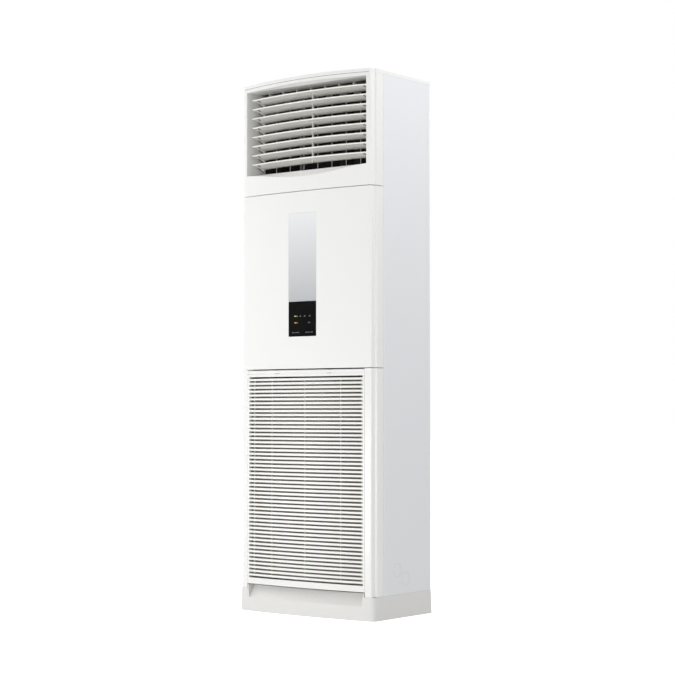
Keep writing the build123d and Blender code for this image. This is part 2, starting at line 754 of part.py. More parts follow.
with BuildPart() as lower_front_frame:
    return_front = bow_y(frame_inner + shell_wall) + 1
    with BuildSketch(Plane.XY.offset(frame_bottom)):
        add(front_plan(0, side_joint_y))
        add(front_plan(shell_wall, side_joint_y + skirt_lap), mode=Mode.SUBTRACT)
        Rectangle(2 * frame_inner, 2 * depth, mode=Mode.SUBTRACT)
        for side in (-1, 1):
            with Locations((side * (frame_inner + shell_wall / 2), (return_front + return_y) / 2)):
                Rectangle(shell_wall, return_y - return_front)
    extrude(amount=frame_top - frame_bottom)
    for z in (rail_low_z, rail_high_z):
        with BuildSketch(Plane.XY.offset(z)):
            with Locations((0, rail_front_y + rail_depth / 2)):
                Rectangle(2 * frame_inner + shell_wall, rail_depth)
        extrude(amount=rail_height)
    add(joint_lines(frame_bottom - 1, frame_top + 1), mode=Mode.SUBTRACT)
keep(lower_front_frame.part, "lower_front_frame")

# ================================================================ intake grille
grille_half = frame_inner - 0.8
grille_low = 96.5
grille_high = seam_low - 3.0
grille_depth = 15.0
grille_folds = 6  # its bow is drawn with this many flats
slot_count = 52
slot_first_z = grille_low + 24.5
slot_last_z = grille_high - 26.0
slot_half = grille_half - 7.2
slot_front = 5.6  # height of a slot at the front
slot_back = 7.0  # and at the back, which tapers the slats
slot_pitch = (slot_last_z - slot_first_z) / (slot_count - 1)
groove_z = grille_high - 12.5
groove_height = 2.6
groove_depth = 2.5
hinge_x = 110.0
hinge_y = front_y + 10.0
hinge_z = grille_high - 10.0
hinge_pin = 2.0
hinge_eye = 4.0
hinge_notch = 26.0
hinge_skin = 2.5
hinge_notch_low = hinge_z - 6.0
pin_root = 1.0  # how far the hinge pins run into the grille on each side of their notch
eye_width = 12.0
eye_arm = 6.0
eye_foot = 2.0  # thickness of the plate that holds the eye to the rail
grille_edge = 2.5  # chamfer of the top edge, which lets the grille swing

fold_step = 2 * grille_half / grille_folds
fold_x = [-grille_half + fold_step * i for i in range(grille_folds + 1)]


def folded_y(x, inset):
    """Y at x of the bow drawn in flats, inset inwards."""
    flat = min(max(int((x + grille_half) / fold_step), 0), grille_folds - 1)
    share = (x - fold_x[flat]) / fold_step
    return bow_y(fold_x[flat], inset) * (1 - share) + bow_y(fold_x[flat + 1], inset) * share


def folded_slab(half_width, inset, thickness, low, high):
    """Slab that follows the bow in flats, between two heights; all such slabs fold at the same places."""
    across = [-half_width, *fold_x[1:-1], half_width]
    front = [(x, folded_y(x, inset)) for x in across]
    rear = [(x, y + thickness) for x, y in reversed(front)]
    with BuildPart() as slab:
        with BuildSketch(Plane.XY.offset(low)):
            Polygon(*front, *rear, align=None)
        extrude(amount=high - low)
    return slab.part


with BuildPart() as intake_grille:
    add(folded_slab(grille_half, 0, grille_depth, grille_low, grille_high))
    front_edges = intake_grille.edges().group_by(Axis.Z)[-1].filter_by(
        lambda e: (e @ 0.5).Y < bow_y((e @ 0.5).X) + 1
    )
    chamfer(front_edges, grille_edge)
    with BuildSketch(Plane.YZ):
        taper = (slot_back - slot_front) / grille_depth / 2
        slot_rear_y = front_y + grille_depth + 2 * overcut
        wide = slot_front / 2 + taper * (slot_rear_y - front_y)
        for i in range(slot_count):
            z = slot_first_z + i * slot_pitch
            with BuildLine():
                Polyline(
                    (front_y - overcut, z - slot_front / 2), (front_y - overcut, z + slot_front / 2),
                    (front_y, z + slot_front / 2), (slot_rear_y, z + wide), (slot_rear_y, z - wide),
                    (front_y, z - slot_front / 2), close=True,
                )
            make_face()
    extrude(amount=slot_half, both=True, mode=Mode.SUBTRACT)
    add(folded_slab(grille_half + 1, -groove_depth, 2 * groove_depth, groove_z - groove_height / 2,
                    groove_z + groove_height / 2), mode=Mode.SUBTRACT)
    for side in (-1, 1):
        with BuildSketch(Plane.XY.offset(hinge_notch_low)):
            with Locations((side * hinge_x, bow_y(hinge_x) + hinge_skin + overcut)):
                Rectangle(hinge_notch, 2 * overcut)
        extrude(amount=grille_high - hinge_notch_low + overcut, mode=Mode.SUBTRACT)
        with BuildSketch(Plane.YZ.offset(side * hinge_x - hinge_notch / 2 - pin_root)):
            with Locations((hinge_y, hinge_z)):
                RegularPolygon(hinge_pin, pin_sides)
        extrude(amount=hinge_notch + 2 * pin_root)
keep(intake_grille.part, "intake_grille")

with BuildPart() as hinge_brackets:
    for side in (-1, 1):
        with BuildSketch(Plane.YZ.offset(side * hinge_x - eye_width / 2)):
            with Locations((hinge_y, hinge_z)):
                RegularPolygon(hinge_eye, pin_sides)
            with Locations(((hinge_y + rail_front_y) / 2, hinge_z)):
                Rectangle(rail_front_y - hinge_y, eye_arm)
            with Locations((rail_front_y - eye_foot / 2, rail_high_z + rail_height / 2)):
                Rectangle(eye_foot, rail_height)
            with Locations((hinge_y, hinge_z)):
                RegularPolygon(hinge_pin + running, pin_sides, major_radius=False, mode=Mode.SUBTRACT)
        extrude(amount=eye_width)
keep(hinge_brackets.part, "hinge_brackets")

catch_x = grille_half - 61.2
catch_width = 20.0
catch_height = 12.0
catch_z = rail_low_z + 2.0
catch_gap = 2.0  # from the closed grille
catch_y = bow_y(catch_x - catch_width / 2) + grille_depth + seat + catch_gap
with BuildPart() as grille_catches:
    for side in (-1, 1):
        with BuildSketch(Plane.XY.offset(catch_z)):
            with Locations((side * catch_x, (catch_y + rail_front_y) / 2)):
                Rectangle(catch_width, rail_front_y - catch_y)
        extrude(amount=catch_height)
keep(grille_catches.part, "grille_catches")

# ================================================================ air filter
filter_half = grille_half - 16.2
filter_low = grille_low + 25.5
filter_high = grille_high - 28.0
filter_depth = 5.0
filter_rim = 8.0
filter_bar = 4.0
filter_bar_x = (-154.0, 0.0, 154.0)  # upright bars, seen through the slots
filter_rows = 2
filter_net_thick = 0.8
filter_net_lap = 3.0  # the net's edge lies on the rim
filter_front = grille_depth + seat

with BuildPart() as filter_frame:
    add(folded_slab(filter_half, filter_front, filter_depth, filter_low, filter_high))
    with BuildSketch(Plane.XZ):
        middle_z = (filter_low + filter_high) / 2
        cell_height = (filter_high - filter_low - 2 * filter_rim - (filter_rows - 1) * filter_bar) / filter_rows
        left_edges = [-filter_half + filter_rim] + [x + filter_bar / 2 for x in filter_bar_x]
        right_edges = [x - filter_bar / 2 for x in filter_bar_x] + [filter_half - filter_rim]
        for left, right in zip(left_edges, right_edges):
            with Locations(((left + right) / 2, middle_z)):
                with GridLocations(1, cell_height + filter_bar, 1, filter_rows):
                    Rectangle(right - left, cell_height)
    extrude(amount=depth, mode=Mode.SUBTRACT)
    add(
        folded_slab(
            filter_half - filter_net_lap, filter_front + filter_depth - filter_net_thick - seat,
            filter_net_thick + 2 * seat, filter_low + filter_net_lap, filter_high - filter_net_lap,
        ),
        mode=Mode.SUBTRACT,
    )
keep(filter_frame.part, "filter_frame")

filter_net = folded_slab(
    filter_half - filter_net_lap - seat, filter_front + filter_depth - filter_net_thick, filter_net_thick,
    filter_low + filter_net_lap + seat, filter_high - filter_net_lap - seat,
)
keep(filter_net, "filter_net")

# ================================================================ fan deck and drain
deck_z = seam_low - 53.0
deck_sheet = 1.5
deck_half = cab_half - steel - seat
deck_front_y = side_joint_y + steel + 2 * seat
deck_rear_y = back_y - 2 * steel - seat
deck_corner = 3.5
scroll_start = 70.0  # angle of the blower's cutoff, counterclockwise from the right
scroll_large = cab_half - 13.0  # radius of the scroll where it turns up to the outlet
wheel_radius = scroll_large - 114.0
scroll_small = wheel_radius + 18.0  # radius of the scroll at the cutoff
scroll_wall = 2.0
gas_radius = 8.0
liquid_radius = 4.8
pipe_room = 3.0  # round the pipes where they pass the deck
pipe_gap = 12.0  # from the back of the scroll to the gas pipe, which runs down behind it
scroll_front_y = front_y + 98.5
scroll_back_y = gas_y - gas_radius - pipe_gap
outlet_lap = 4.0  # opening above the blower's outlet, past the scroll's cutoff
outlet_left = scroll_small * cos(radians(scroll_start)) - outlet_lap
outlet_right = scroll_large + scroll_wall
drain_outer = 10.0
drain_inner = 8.0
drain_low_z = 150.0
spigot_radius = 9.0  # stepped end that takes the drain hose
spigot_length = 25.0
pan_top_half = cab_half - 39.0
pan_top_y = drain_y
pan_top_depth = 82.0
pan_top_height = 38.0
pan_top_wall = 2.0
pan_top_z = deck_z + deck_sheet + seat
pan_floor_z = pan_top_z + pan_top_wall

with BuildPart() as fan_deck:
    with BuildSketch(Plane.XY.offset(deck_z)) as deck:
        with Locations((0, (deck_front_y + deck_rear_y) / 2)):
            Rectangle(2 * deck_half, deck_rear_y - deck_front_y)
        chamfer(deck.vertices(), deck_corner)
        with Locations(((outlet_left + outlet_right) / 2, (scroll_front_y + scroll_back_y) / 2)):
            Rectangle(outlet_right - outlet_left, scroll_back_y - scroll_front_y, mode=Mode.SUBTRACT)
        with Locations((pipe_x, gas_y)):
            RegularPolygon(gas_radius + pipe_room, pin_sides, mode=Mode.SUBTRACT)
        with Locations((pipe_x, liquid_y)):
            RegularPolygon(liquid_radius + pipe_room, pin_sides, mode=Mode.SUBTRACT)
        with Locations((drain_x, drain_y)):
            RegularPolygon(drain_outer + pipe_room, pin_sides, mode=Mode.SUBTRACT)
    extrude(amount=deck_sheet)
keep(fan_deck.part, "fan_deck")

with BuildPart() as drain_pan:
    with BuildSketch(Plane.XY.offset(pan_top_z)):
        with Locations((0, pan_top_y)):
            Rectangle(2 * pan_top_half, pan_top_depth)
    extrude(amount=pan_top_height)
    with BuildSketch(Plane.XY.offset(pan_floor_z)):
        with Locations((0, pan_top_y)):
            Rectangle(2 * (pan_top_half - pan_top_wall), pan_top_depth - 2 * pan_top_wall)
    extrude(amount=pan_top_height, mode=Mode.SUBTRACT)
    with BuildSketch(Plane.XY.offset(pan_top_z)):
        with Locations((drain_x, drain_y)):
            RegularPolygon(drain_inner, pin_sides)
    extrude(amount=pan_top_wall, mode=Mode.SUBTRACT)
keep(drain_pan.part, "drain_pan")

with BuildPart() as drain_pipe:
    with BuildSketch(Plane.XY.offset(pan_top_z - seat)):
        with Locations((drain_x, drain_y)):
            RegularPolygon(drain_outer, 2 * pin_sides)
            RegularPolygon(drain_inner, pin_sides, mode=Mode.SUBTRACT)
    extrude(amount=-(pan_top_z - seat - drain_low_z - spigot_length))
    with BuildSketch(Plane.XY.offset(drain_low_z)):
        with Locations((drain_x, drain_y)):
            Circle(spigot_radius)
            RegularPolygon(drain_inner, pin_sides, mode=Mode.SUBTRACT)
    extrude(amount=spigot_length)
keep(drain_pipe.part, "drain_pipe")

# ================================================================ blower
fan_drop = 370.0  # from the deck down to the fan's axis
fan_z = deck_z - fan_drop
scroll_steps = 20  # the wall is folded in this many flats
scroll_flange = 8.0
scroll_top_z = deck_z - seat
shaft_hole = 45.0
mouth_radius = wheel_radius - 32.0  # throat of the inlet ring
mouth_bell = 22.0
mouth_wall = 2.0
mouth_reach = 6.0  # how far the ring reaches into the wheel
wheel_front_y = scroll_front_y + 8.0
wheel_back_y = scroll_back_y - 12.0
wheel_disc = 3.0
wheel_ring = 20.0
blade_count = 26
blade_inner = wheel_radius - 27.0
blade_outer = wheel_radius - 2.0
blade_lead = 8.0  # angle by which a blade's outer edge leads its inner edge
blade_bow = 1.5
blade_turn = 0.6  # thickness, as an angle
wheel_hub = 20.0
wheel_hub_length = 30.0
shaft_radius = 6.0
shaft_front_y = wheel_back_y - 32.0
shaft_end_gap = 1.0  # between the shaft and the bottom of the motor's bore
plate_sheet = 3.0
motor_front_y = scroll_back_y + scroll_wall + plate_sheet + 2 * seat
motor_radius = 62.0
motor_length = 77.0
motor_bore = 70.0
plate_half = 100.0
plate_hole = 24.0


def fan_plane(y):
    """Upright plane through the fan's axis at y, facing the front."""
    return Plane(origin=(0, y, fan_z), x_dir=(1, 0, 0), z_dir=(0, -1, 0))


def polar(radius, angle):
    """Point at a radius and an angle in degrees."""
    return radius * cos(radians(angle)), radius * sin(radians(angle))


def scroll_outline(grow, top_z):
    """Outline of the scroll with its straight outlet, grown outwards, about the fan's axis."""
    turn = 360 - scroll_start
    points = []
    for i in range(scroll_steps + 1):
        part_turn = i / scroll_steps
        radius = scroll_small + (scroll_large - scroll_small) * part_turn + grow
        points.append(polar(radius, scroll_start + turn * part_turn))
    cut_x = scroll_small * cos(radians(scroll_start))
    with BuildSketch() as outline:
        with BuildLine():
            Polyline(*points, (points[0][0], 0), close=True)
        make_face()
        with Locations(((cut_x + scroll_large) / 2, (top_z - fan_z) / 2)):
            Rectangle(scroll_large - cut_x + 2 * grow, top_z - fan_z)
    return outline.sketch


with BuildPart() as scroll_casing:
    with BuildSketch(fan_plane(scroll_back_y)):
        add(scroll_outline(scroll_wall, scroll_top_z))
        add(scroll_outline(0, scroll_top_z + overcut), mode=Mode.SUBTRACT)
    extrude(amount=scroll_back_y - scroll_front_y)
    with BuildSketch(fan_plane(scroll_back_y)):
        add(scroll_outline(scroll_wall, scroll_top_z))
        RegularPolygon(shaft_hole, 2 * pin_sides, mode=Mode.SUBTRACT)
    extrude(amount=-scroll_wall)
keep(scroll_casing.part, "scroll_casing")

bell_y = wheel_front_y - mouth_wall


def bell_point(radius, angle):
    """Point on the bell of the inlet ring: 0 degrees at its throat, 90 at its front edge."""
    a = radians(angle)
    return mouth_radius + mouth_bell - radius * cos(a), bell_y - radius * sin(a)


with BuildPart() as inlet_plate:
    with BuildSketch(fan_plane(scroll_front_y - seat)):
        add(scroll_outline(scroll_flange, scroll_top_z))
        Circle(mouth_radius + mouth_wall, mode=Mode.SUBTRACT)
    extrude(amount=mouth_wall)
    with BuildSketch(Plane.XY.offset(fan_z)):
        with BuildLine():
            bell = [bell_point(mouth_bell, angle) for angle in (90, 45, 0)]
            rear_bell = [bell_point(mouth_bell - mouth_wall, angle) for angle in (0, 45, 90)]
            Polyline(
                *bell, (mouth_radius, bell_y + mouth_reach), (mouth_radius + mouth_wall, bell_y + mouth_reach),
                *rear_bell, close=True,
            )
        make_face()
    revolve(axis=Axis((0, 0, fan_z), (0, 1, 0)))
keep(inlet_plate.part, "inlet_plate")

with BuildSketch() as blade:
    middle = (blade_inner + blade_outer) / 2
    middle_lead = blade_lead / 2 - blade_bow
    Polygon(
        polar(blade_inner, 0), polar(middle, middle_lead), polar(blade_outer, blade_lead),
        polar(blade_outer, blade_lead + blade_turn), polar(middle, middle_lead + blade_turn),
        polar(blade_inner, blade_turn), align=None,
    )

with BuildPart() as blower_wheel:
    with BuildSketch(fan_plane(wheel_back_y)):
        Circle(wheel_radius)
    extrude(amount=wheel_disc)
    with BuildSketch(fan_plane(wheel_front_y + wheel_disc)):
        Circle(wheel_radius)
        Circle(wheel_radius - wheel_ring, mode=Mode.SUBTRACT)
    extrude(amount=wheel_disc)
    with BuildSketch(fan_plane(wheel_back_y - wheel_disc)):
        with PolarLocations(0, blade_count):
            add(blade.sketch)
    extrude(amount=wheel_back_y - wheel_front_y - 2 * wheel_disc)
    with BuildSketch(fan_plane(wheel_back_y)):
        RegularPolygon(wheel_hub, 2 * pin_sides)
    extrude(amount=wheel_hub_length)
    with BuildSketch(fan_plane(wheel_back_y)):
        Circle(shaft_radius + running)
    extrude(amount=wheel_hub_length, mode=Mode.SUBTRACT)
keep(blower_wheel.part, "blower_wheel")

with BuildPart() as motor_shaft:
    with BuildSketch(fan_plane(shaft_front_y)):
        Circle(shaft_radius)
    extrude(amount=-(motor_front_y + motor_bore - shaft_end_gap - shaft_front_y))
keep(motor_shaft.part, "motor_shaft")

with BuildPart() as motor_bracket:
    with BuildSketch(fan_plane(scroll_back_y + scroll_wall + seat)):
        Rectangle(2 * plate_half, 2 * plate_half)
        RegularPolygon(plate_hole, 2 * pin_sides, mode=Mode.SUBTRACT)
    extrude(amount=-plate_sheet)
keep(motor_bracket.part, "motor_bracket")

with BuildPart() as fan_motor:
    with BuildSketch(fan_plane(motor_front_y)):
        Circle(motor_radius)
    extrude(amount=-motor_length)
    with BuildSketch(fan_plane(motor_front_y)):
        Circle(shaft_radius + running)
    extrude(amount=-motor_bore, mode=Mode.SUBTRACT)
keep(fan_motor.part, "fan_motor")

# ================================================================ evaporator and pipes
coil_tilt = radians(16.6)  # the top leans towards the front
coil_half = cab_half - 57.0
coil_thick = 40.0
fin_groove = 4.0
fin_groove_depth = 3.0
fin_groove_count = 11
end_long = duct_floor - deck_z - 157.0
end_wide = 48.0
end_sheet = 1.5
coil_long = end_long - 16.0
end_reach = end_long / 2 * sin(coil_tilt) + end_wide / 2 * cos(coil_tilt)  # back from the middle
coil_pan_gap = 18.4365  # from the lower rear corner of the end plates to the pan's rear wall
coil_y = pan_top_y + pan_top_depth / 2 - pan_top_wall - coil_pan_gap - end_reach
coil_z = pan_floor_z + seat + end_long / 2 * cos(coil_tilt) + end_wide / 2 * sin(coil_tilt)
tube_radius = 4.8
bend_radius = 19.0
bend_count = 5
bend_pitch = (coil_long - 160.0) / (bend_count - 1)
bend_leg = 6.0


def coil_plane(offset):
    """Plane along the evaporator, offset forwards from its middle."""
    forward = (0, -cos(coil_tilt), -sin(coil_tilt))
    origin = (0, coil_y + forward[1] * offset, coil_z + forward[2] * offset)
    return Plane(origin=origin, x_dir=(1, 0, 0), z_dir=forward)


with BuildPart() as evaporator_fins:
    with BuildSketch(coil_plane(0)):
        Rectangle(2 * coil_half, coil_long)
    extrude(amount=coil_thick / 2, both=True)
    with BuildSketch(coil_plane(coil_thick / 2)):
        with GridLocations(2 * coil_half / (fin_groove_count + 1), 1, fin_groove_count, 1):
            Rectangle(fin_groove, coil_long)
    extrude(amount=-fin_groove_depth, mode=Mode.SUBTRACT)
keep(evaporator_fins.part, "evaporator_fins")

with BuildPart() as evaporator_plates:
    for side in (-1, 1):
        inner = coil_half + seat
        with BuildSketch(coil_plane(0)):
            with Locations((side * (inner + end_sheet / 2), 0)):
                Rectangle(end_sheet, end_long)
            with Locations((side * (inner + cab_half - steel - seat) / 2, (end_long - end_sheet) / 2)):
                Rectangle(cab_half - steel - seat - inner, end_sheet)
        extrude(amount=end_wide / 2, both=True)
keep(evaporator_plates.part, "evaporator_plates")

with BuildPart() as evaporator_bends:
    for i in range(bend_count):
        v = (i - (bend_count - 1) / 2) * bend_pitch
        start = -(coil_half + end_sheet + 2 * seat)
        turn = start - bend_leg
        with BuildLine(coil_plane(0)) as u_path:
            arc = [
                (turn - bend_radius * sin(radians(a)), v - bend_radius * cos(radians(a)))
                for a in (0, 45, 90, 135, 180)
            ]
            Polyline((start, v - bend_radius), *arc, (start, v + bend_radius))
        with BuildSketch(Plane(origin=u_path.line @ 0, z_dir=u_path.line % 0)):
            RegularPolygon(tube_radius, link_sides)
        sweep(path=u_path.line, transition=Transition.RIGHT)
keep(evaporator_bends.part, "evaporator_bends")


def pipe(radius, y, low):
    """Pipe that leaves the evaporator's right end in its middle plane, and turns down at pipe_x to low."""
    begin = coil_half + end_sheet + 2 * seat
    high = coil_z - (y - coil_y) * cos(coil_tilt) / sin(coil_tilt)
    with BuildPart() as run:
        with BuildLine() as route:
            FilletPolyline((begin, y, high), (pipe_x, y, high), (pipe_x, y, low), radius=pipe_bend)
        with BuildSketch(Plane(origin=route.line @ 0, z_dir=(1, 0, 0))):
            RegularPolygon(radius, pipe_sides)
        sweep(path=route.line)
    return run.part


gas_low_z = 230.0
liquid_low_z = 262.0
pipe_bend = 18.0
pipe_sides = 8
gas_thread = 11.1
liquid_thread = 7.9
thread_depth = 15.0
nut_neck = 10.0
gas_nut = 16.6  # across the corners, half
liquid_nut = 12.6
nut_cap = 0.3

keep(pipe(gas_radius, gas_y, gas_low_z), "gas_pipe")
keep(pipe(liquid_radius, liquid_y, liquid_low_z), "liquid_pipe")

with BuildPart() as flare_nuts:
    for y, tube, low, nut, thread in (
        (gas_y, gas_radius, gas_low_z, gas_nut, gas_thread),
        (liquid_y, liquid_radius, liquid_low_z, liquid_nut, liquid_thread),
    ):
        with BuildSketch(Plane.XY.offset(low - nut_cap - thread_depth)):
            with Locations((pipe_x, y)):
                RegularPolygon(nut, 6)
                Circle(thread, mode=Mode.SUBTRACT)
        extrude(amount=thread_depth)
        with BuildSketch(Plane.XY.offset(low - nut_cap)):
            with Locations((pipe_x, y)):
                RegularPolygon(nut, 6)
                RegularPolygon(tube + nut_cap, pipe_sides, major_radius=False, mode=Mode.SUBTRACT)
        extrude(amount=nut_neck)
keep(flare_nuts.part, "flare_nuts")

# ================================================================ control box
box_left = -(cab_half - 57.0)
box_width = 220.0
box_right = box_left + box_width
box_front_y = front_y + 81.5
box_rear_y = front_y + 161.5
box_low_z = deck_z - 145.0
box_high_z = deck_z - seat
box_sheet = 1.2
box_x = (box_left + box_right) / 2
box_z = (box_low_z + box_high_z) / 2
board_width = 120.0
board_high = 90.0
board_x = box_left + 140.0
board_z = deck_z - 65.0
stand_off = 6.0
stand_off_width = 6.0
relay_width = 18.0
relay_high = 24.0
relay_depth = 15.0
relay_pitch = 24.0
relay_x = board_x + 26.0
relay_z = board_z - 20.0
coil_box_width = 40.0  # the board's transformer
coil_box_high = 34.0
coil_box_depth = 26.0
coil_box_x = board_x - 30.0
coil_box_z = board_z + 18.0
terminal_x = box_left + 50.0
terminal_z = box_low_z + 19.0
terminal_width = 70.0
terminal_height = 24.0
terminal_depth = 18.0
terminal_ways = 5
terminal_pitch = terminal_width / terminal_ways
terminal_wall = 3.0  # between two ways
terminal_ledge = 4.0  # above and below them
terminal_well = 5.0
capacitor_x = box_left + 35.0
capacitor_drop = 75.0
capacitor_z = deck_z - capacitor_drop
capacitor_radius = 19.0
capacitor_length = 62.0
box_inner_y = box_rear_y - box_sheet - seat

with BuildPart() as control_box:
    with BuildSketch(y_plane(box_rear_y)):
        with Locations((box_x, box_z)):
            Rectangle(box_right - box_left, box_high_z - box_low_z)
    extrude(amount=box_rear_y - box_front_y)
    with BuildSketch(y_plane(box_rear_y - box_sheet)):
        with Locations((box_x, box_z)):
            Rectangle(box_right - box_left - 2 * box_sheet, box_high_z - box_low_z - 2 * box_sheet)
    extrude(amount=depth, mode=Mode.SUBTRACT)
keep(control_box.part, "control_box")

with BuildPart() as control_box_cover:
    with BuildSketch(y_plane(box_front_y - seat)):
        with Locations((box_x, box_z)):
            Rectangle(box_right - box_left, box_high_z - box_low_z)
    extrude(amount=box_sheet)
keep(control_box_cover.part, "control_box_cover")

with BuildPart() as control_board:
    with BuildSketch(y_plane(box_inner_y - stand_off)):
        with Locations((board_x, board_z)):
            Rectangle(board_width, board_high)
    extrude(amount=board_sheet)
    with BuildSketch(y_plane(box_inner_y)):
        with Locations((board_x, board_z)):
            with GridLocations(board_width - 2 * stand_off_width, board_high - 2 * stand_off_width, 2, 2):
                Rectangle(stand_off_width, stand_off_width)
    extrude(amount=stand_off)
    with BuildSketch(y_plane(box_inner_y - stand_off - board_sheet)):
        with Locations((coil_box_x, coil_box_z)):
            Rectangle(coil_box_width, coil_box_high)
    extrude(amount=coil_box_depth)
    with BuildSketch(y_plane(box_inner_y - stand_off - board_sheet)):
        with Locations((relay_x, relay_z)):
            with GridLocations(relay_pitch, 1, 2, 1):
                Rectangle(relay_width, relay_high)
    extrude(amount=relay_depth)
keep(control_board.part, "control_board")

with BuildPart() as terminal_block:
    with BuildSketch(y_plane(box_inner_y)):
        with Locations((terminal_x, terminal_z)):
            Rectangle(terminal_width, terminal_height)
    extrude(amount=terminal_depth)
    with BuildSketch(y_plane(box_inner_y - terminal_depth)):
        with Locations((terminal_x, terminal_z)):
            with GridLocations(terminal_pitch, 1, terminal_ways, 1):
                Rectangle(terminal_pitch - terminal_wall, terminal_height - 2 * terminal_ledge)
    extrude(amount=-terminal_well, mode=Mode.SUBTRACT)
keep(terminal_block.part, "terminal_block")

with BuildPart() as run_capacitor:
    with BuildSketch(y_plane(box_inner_y)):
        with Locations((capacitor_x, capacitor_z)):
            RegularPolygon(capacitor_radius, 2 * pin_sides)
    extrude(amount=capacitor_length)
keep(run_capacitor.part, "run_capacitor")
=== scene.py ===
# %% [markdown]
# # A floor standing air conditioner, dressed for its picture
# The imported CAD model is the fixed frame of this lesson: every panel, louver, link and pipe of the
# real unit is already there as a rigid node. Blender adds what a moulder, a painter and a fitter
# would add afterwards: rounded edges, finishes, printed marks, screws, fins and smooth tubes.
# Nothing of the frame is moved, so the pieces made here are placed by the sizes of the real object.

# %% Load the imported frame
from math import cos, pi, radians, sin, sqrt

import bmesh
import bpy
from mathutils import Matrix, Vector


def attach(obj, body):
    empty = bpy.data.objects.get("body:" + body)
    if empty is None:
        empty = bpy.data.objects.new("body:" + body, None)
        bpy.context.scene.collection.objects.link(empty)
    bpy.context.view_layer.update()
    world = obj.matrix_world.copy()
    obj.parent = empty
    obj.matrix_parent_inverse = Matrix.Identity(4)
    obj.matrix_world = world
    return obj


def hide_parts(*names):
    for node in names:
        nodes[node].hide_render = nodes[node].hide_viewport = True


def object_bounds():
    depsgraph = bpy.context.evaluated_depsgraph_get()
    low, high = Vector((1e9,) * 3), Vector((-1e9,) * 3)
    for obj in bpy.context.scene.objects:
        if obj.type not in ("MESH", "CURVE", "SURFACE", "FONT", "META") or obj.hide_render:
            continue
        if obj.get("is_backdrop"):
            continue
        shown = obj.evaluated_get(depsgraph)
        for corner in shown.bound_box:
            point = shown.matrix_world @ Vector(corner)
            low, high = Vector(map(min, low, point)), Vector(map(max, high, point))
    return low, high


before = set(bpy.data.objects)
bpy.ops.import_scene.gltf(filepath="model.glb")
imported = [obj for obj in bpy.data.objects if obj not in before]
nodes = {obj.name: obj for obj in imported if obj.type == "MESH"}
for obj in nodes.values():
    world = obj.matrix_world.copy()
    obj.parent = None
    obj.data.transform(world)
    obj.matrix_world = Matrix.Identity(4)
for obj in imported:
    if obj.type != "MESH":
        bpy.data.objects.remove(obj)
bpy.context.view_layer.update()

# %% [markdown]
# ## The camera
# The camera stands where the photographer's did: low, well to the right of the front and a little
# over six metres away, so the bowed front and the right side panel both show. A long lens keeps the
# uprights nearly parallel. The place was fitted to the outline of the cabinet, and the picture is square.

# %% Camera
camera_data = bpy.data.cameras.new("catalogue_camera")
camera_data.sensor_width = 36.0
camera_data.lens = 92.17
camera = bpy.data.objects.new("catalogue_camera", camera_data)
camera.location = (3.8057, -4.8162, 0.7041)
camera.rotation_euler = (radians(92.462), 0.0, radians(38.184))
bpy.context.scene.collection.objects.link(camera)
bpy.context.scene.camera = camera
print("camera at", tuple(round(v, 2) for v in camera.location))

# %% [markdown]
# ## The studio
# A white unit on a white ground is lit by large soft sources. One stands far to the left, so the
# bowed front fades from left to right, and the lamp on the right hangs high, so the side panel fades
# from top to bottom. A softbox on the floor in front does what the white floor does in a real
# studio: it shines up under the louvers, which would be dark from below without it, and a small one
# near the camera reaches the inner faces. A narrow strip draws the bright line down the right edge
# of the face, and one lamp behind lets the back be looked at too. The white of the ground is only
# for rays of the camera and of reflections, so it throws no extra light.

# %% Lamps
def soft_lamp(name, place, aim, size, power, colour=(1.0, 1.0, 1.0)):
    """A square softbox at place that faces aim."""
    data = bpy.data.lights.new(name, "AREA")
    data.shape = "RECTANGLE"
    data.size, data.size_y = size
    data.energy = power
    data.color = colour
    lamp = bpy.data.objects.new(name, data)
    lamp.location = place
    lamp.rotation_euler = (Vector(aim) - Vector(place)).to_track_quat("-Z", "Y").to_euler()
    bpy.context.scene.collection.objects.link(lamp)
    return lamp


studio = [
    soft_lamp("left_softbox", (-4.6, -0.8, 2.4), (0.0, 0.0, 1.0), (2.0, 2.4), 80.0, (1.0, 0.995, 0.985)),
    soft_lamp("floor_bounce", (-1.4, -2.4, 0.03), (-0.5, -0.8, 2.0), (2.0, 1.6), 70.0),
    soft_lamp("low_right_softbox", (2.2, -5.2, 0.45), (0.0, 0.0, 1.3), (1.8, 0.7), 72.0),
    soft_lamp("edge_strip", (4.0, -3.4, 2.2), (0.2, 0.0, 1.5), (0.3, 2.6), 20.0),
    soft_lamp("high_right_softbox", (2.0, 0.3, 3.2), (0.2, 0.0, 1.6), (1.4, 1.4), 34.0),
    soft_lamp("rear_softbox", (-1.2, 4.2, 2.6), (0.0, 0.0, 1.0), (2.4, 2.4), 60.0),
]
print("lamps", [(lamp.name, lamp.data.energy) for lamp in studio])

# %% World
world_light = 0.48


def rays_seen(tree, *kinds):
    """A mask that is 1 for rays of the kinds named."""
    path = tree.nodes.new("ShaderNodeLightPath")
    mask = path.outputs[kinds[0]]
    for kind in kinds[1:]:
        either = tree.nodes.new("ShaderNodeMath")
        either.operation = "MAXIMUM"
        tree.links.new(mask, either.inputs[0])
        tree.links.new(path.outputs[kind], either.inputs[1])
        mask = either.outputs[0]
    return mask


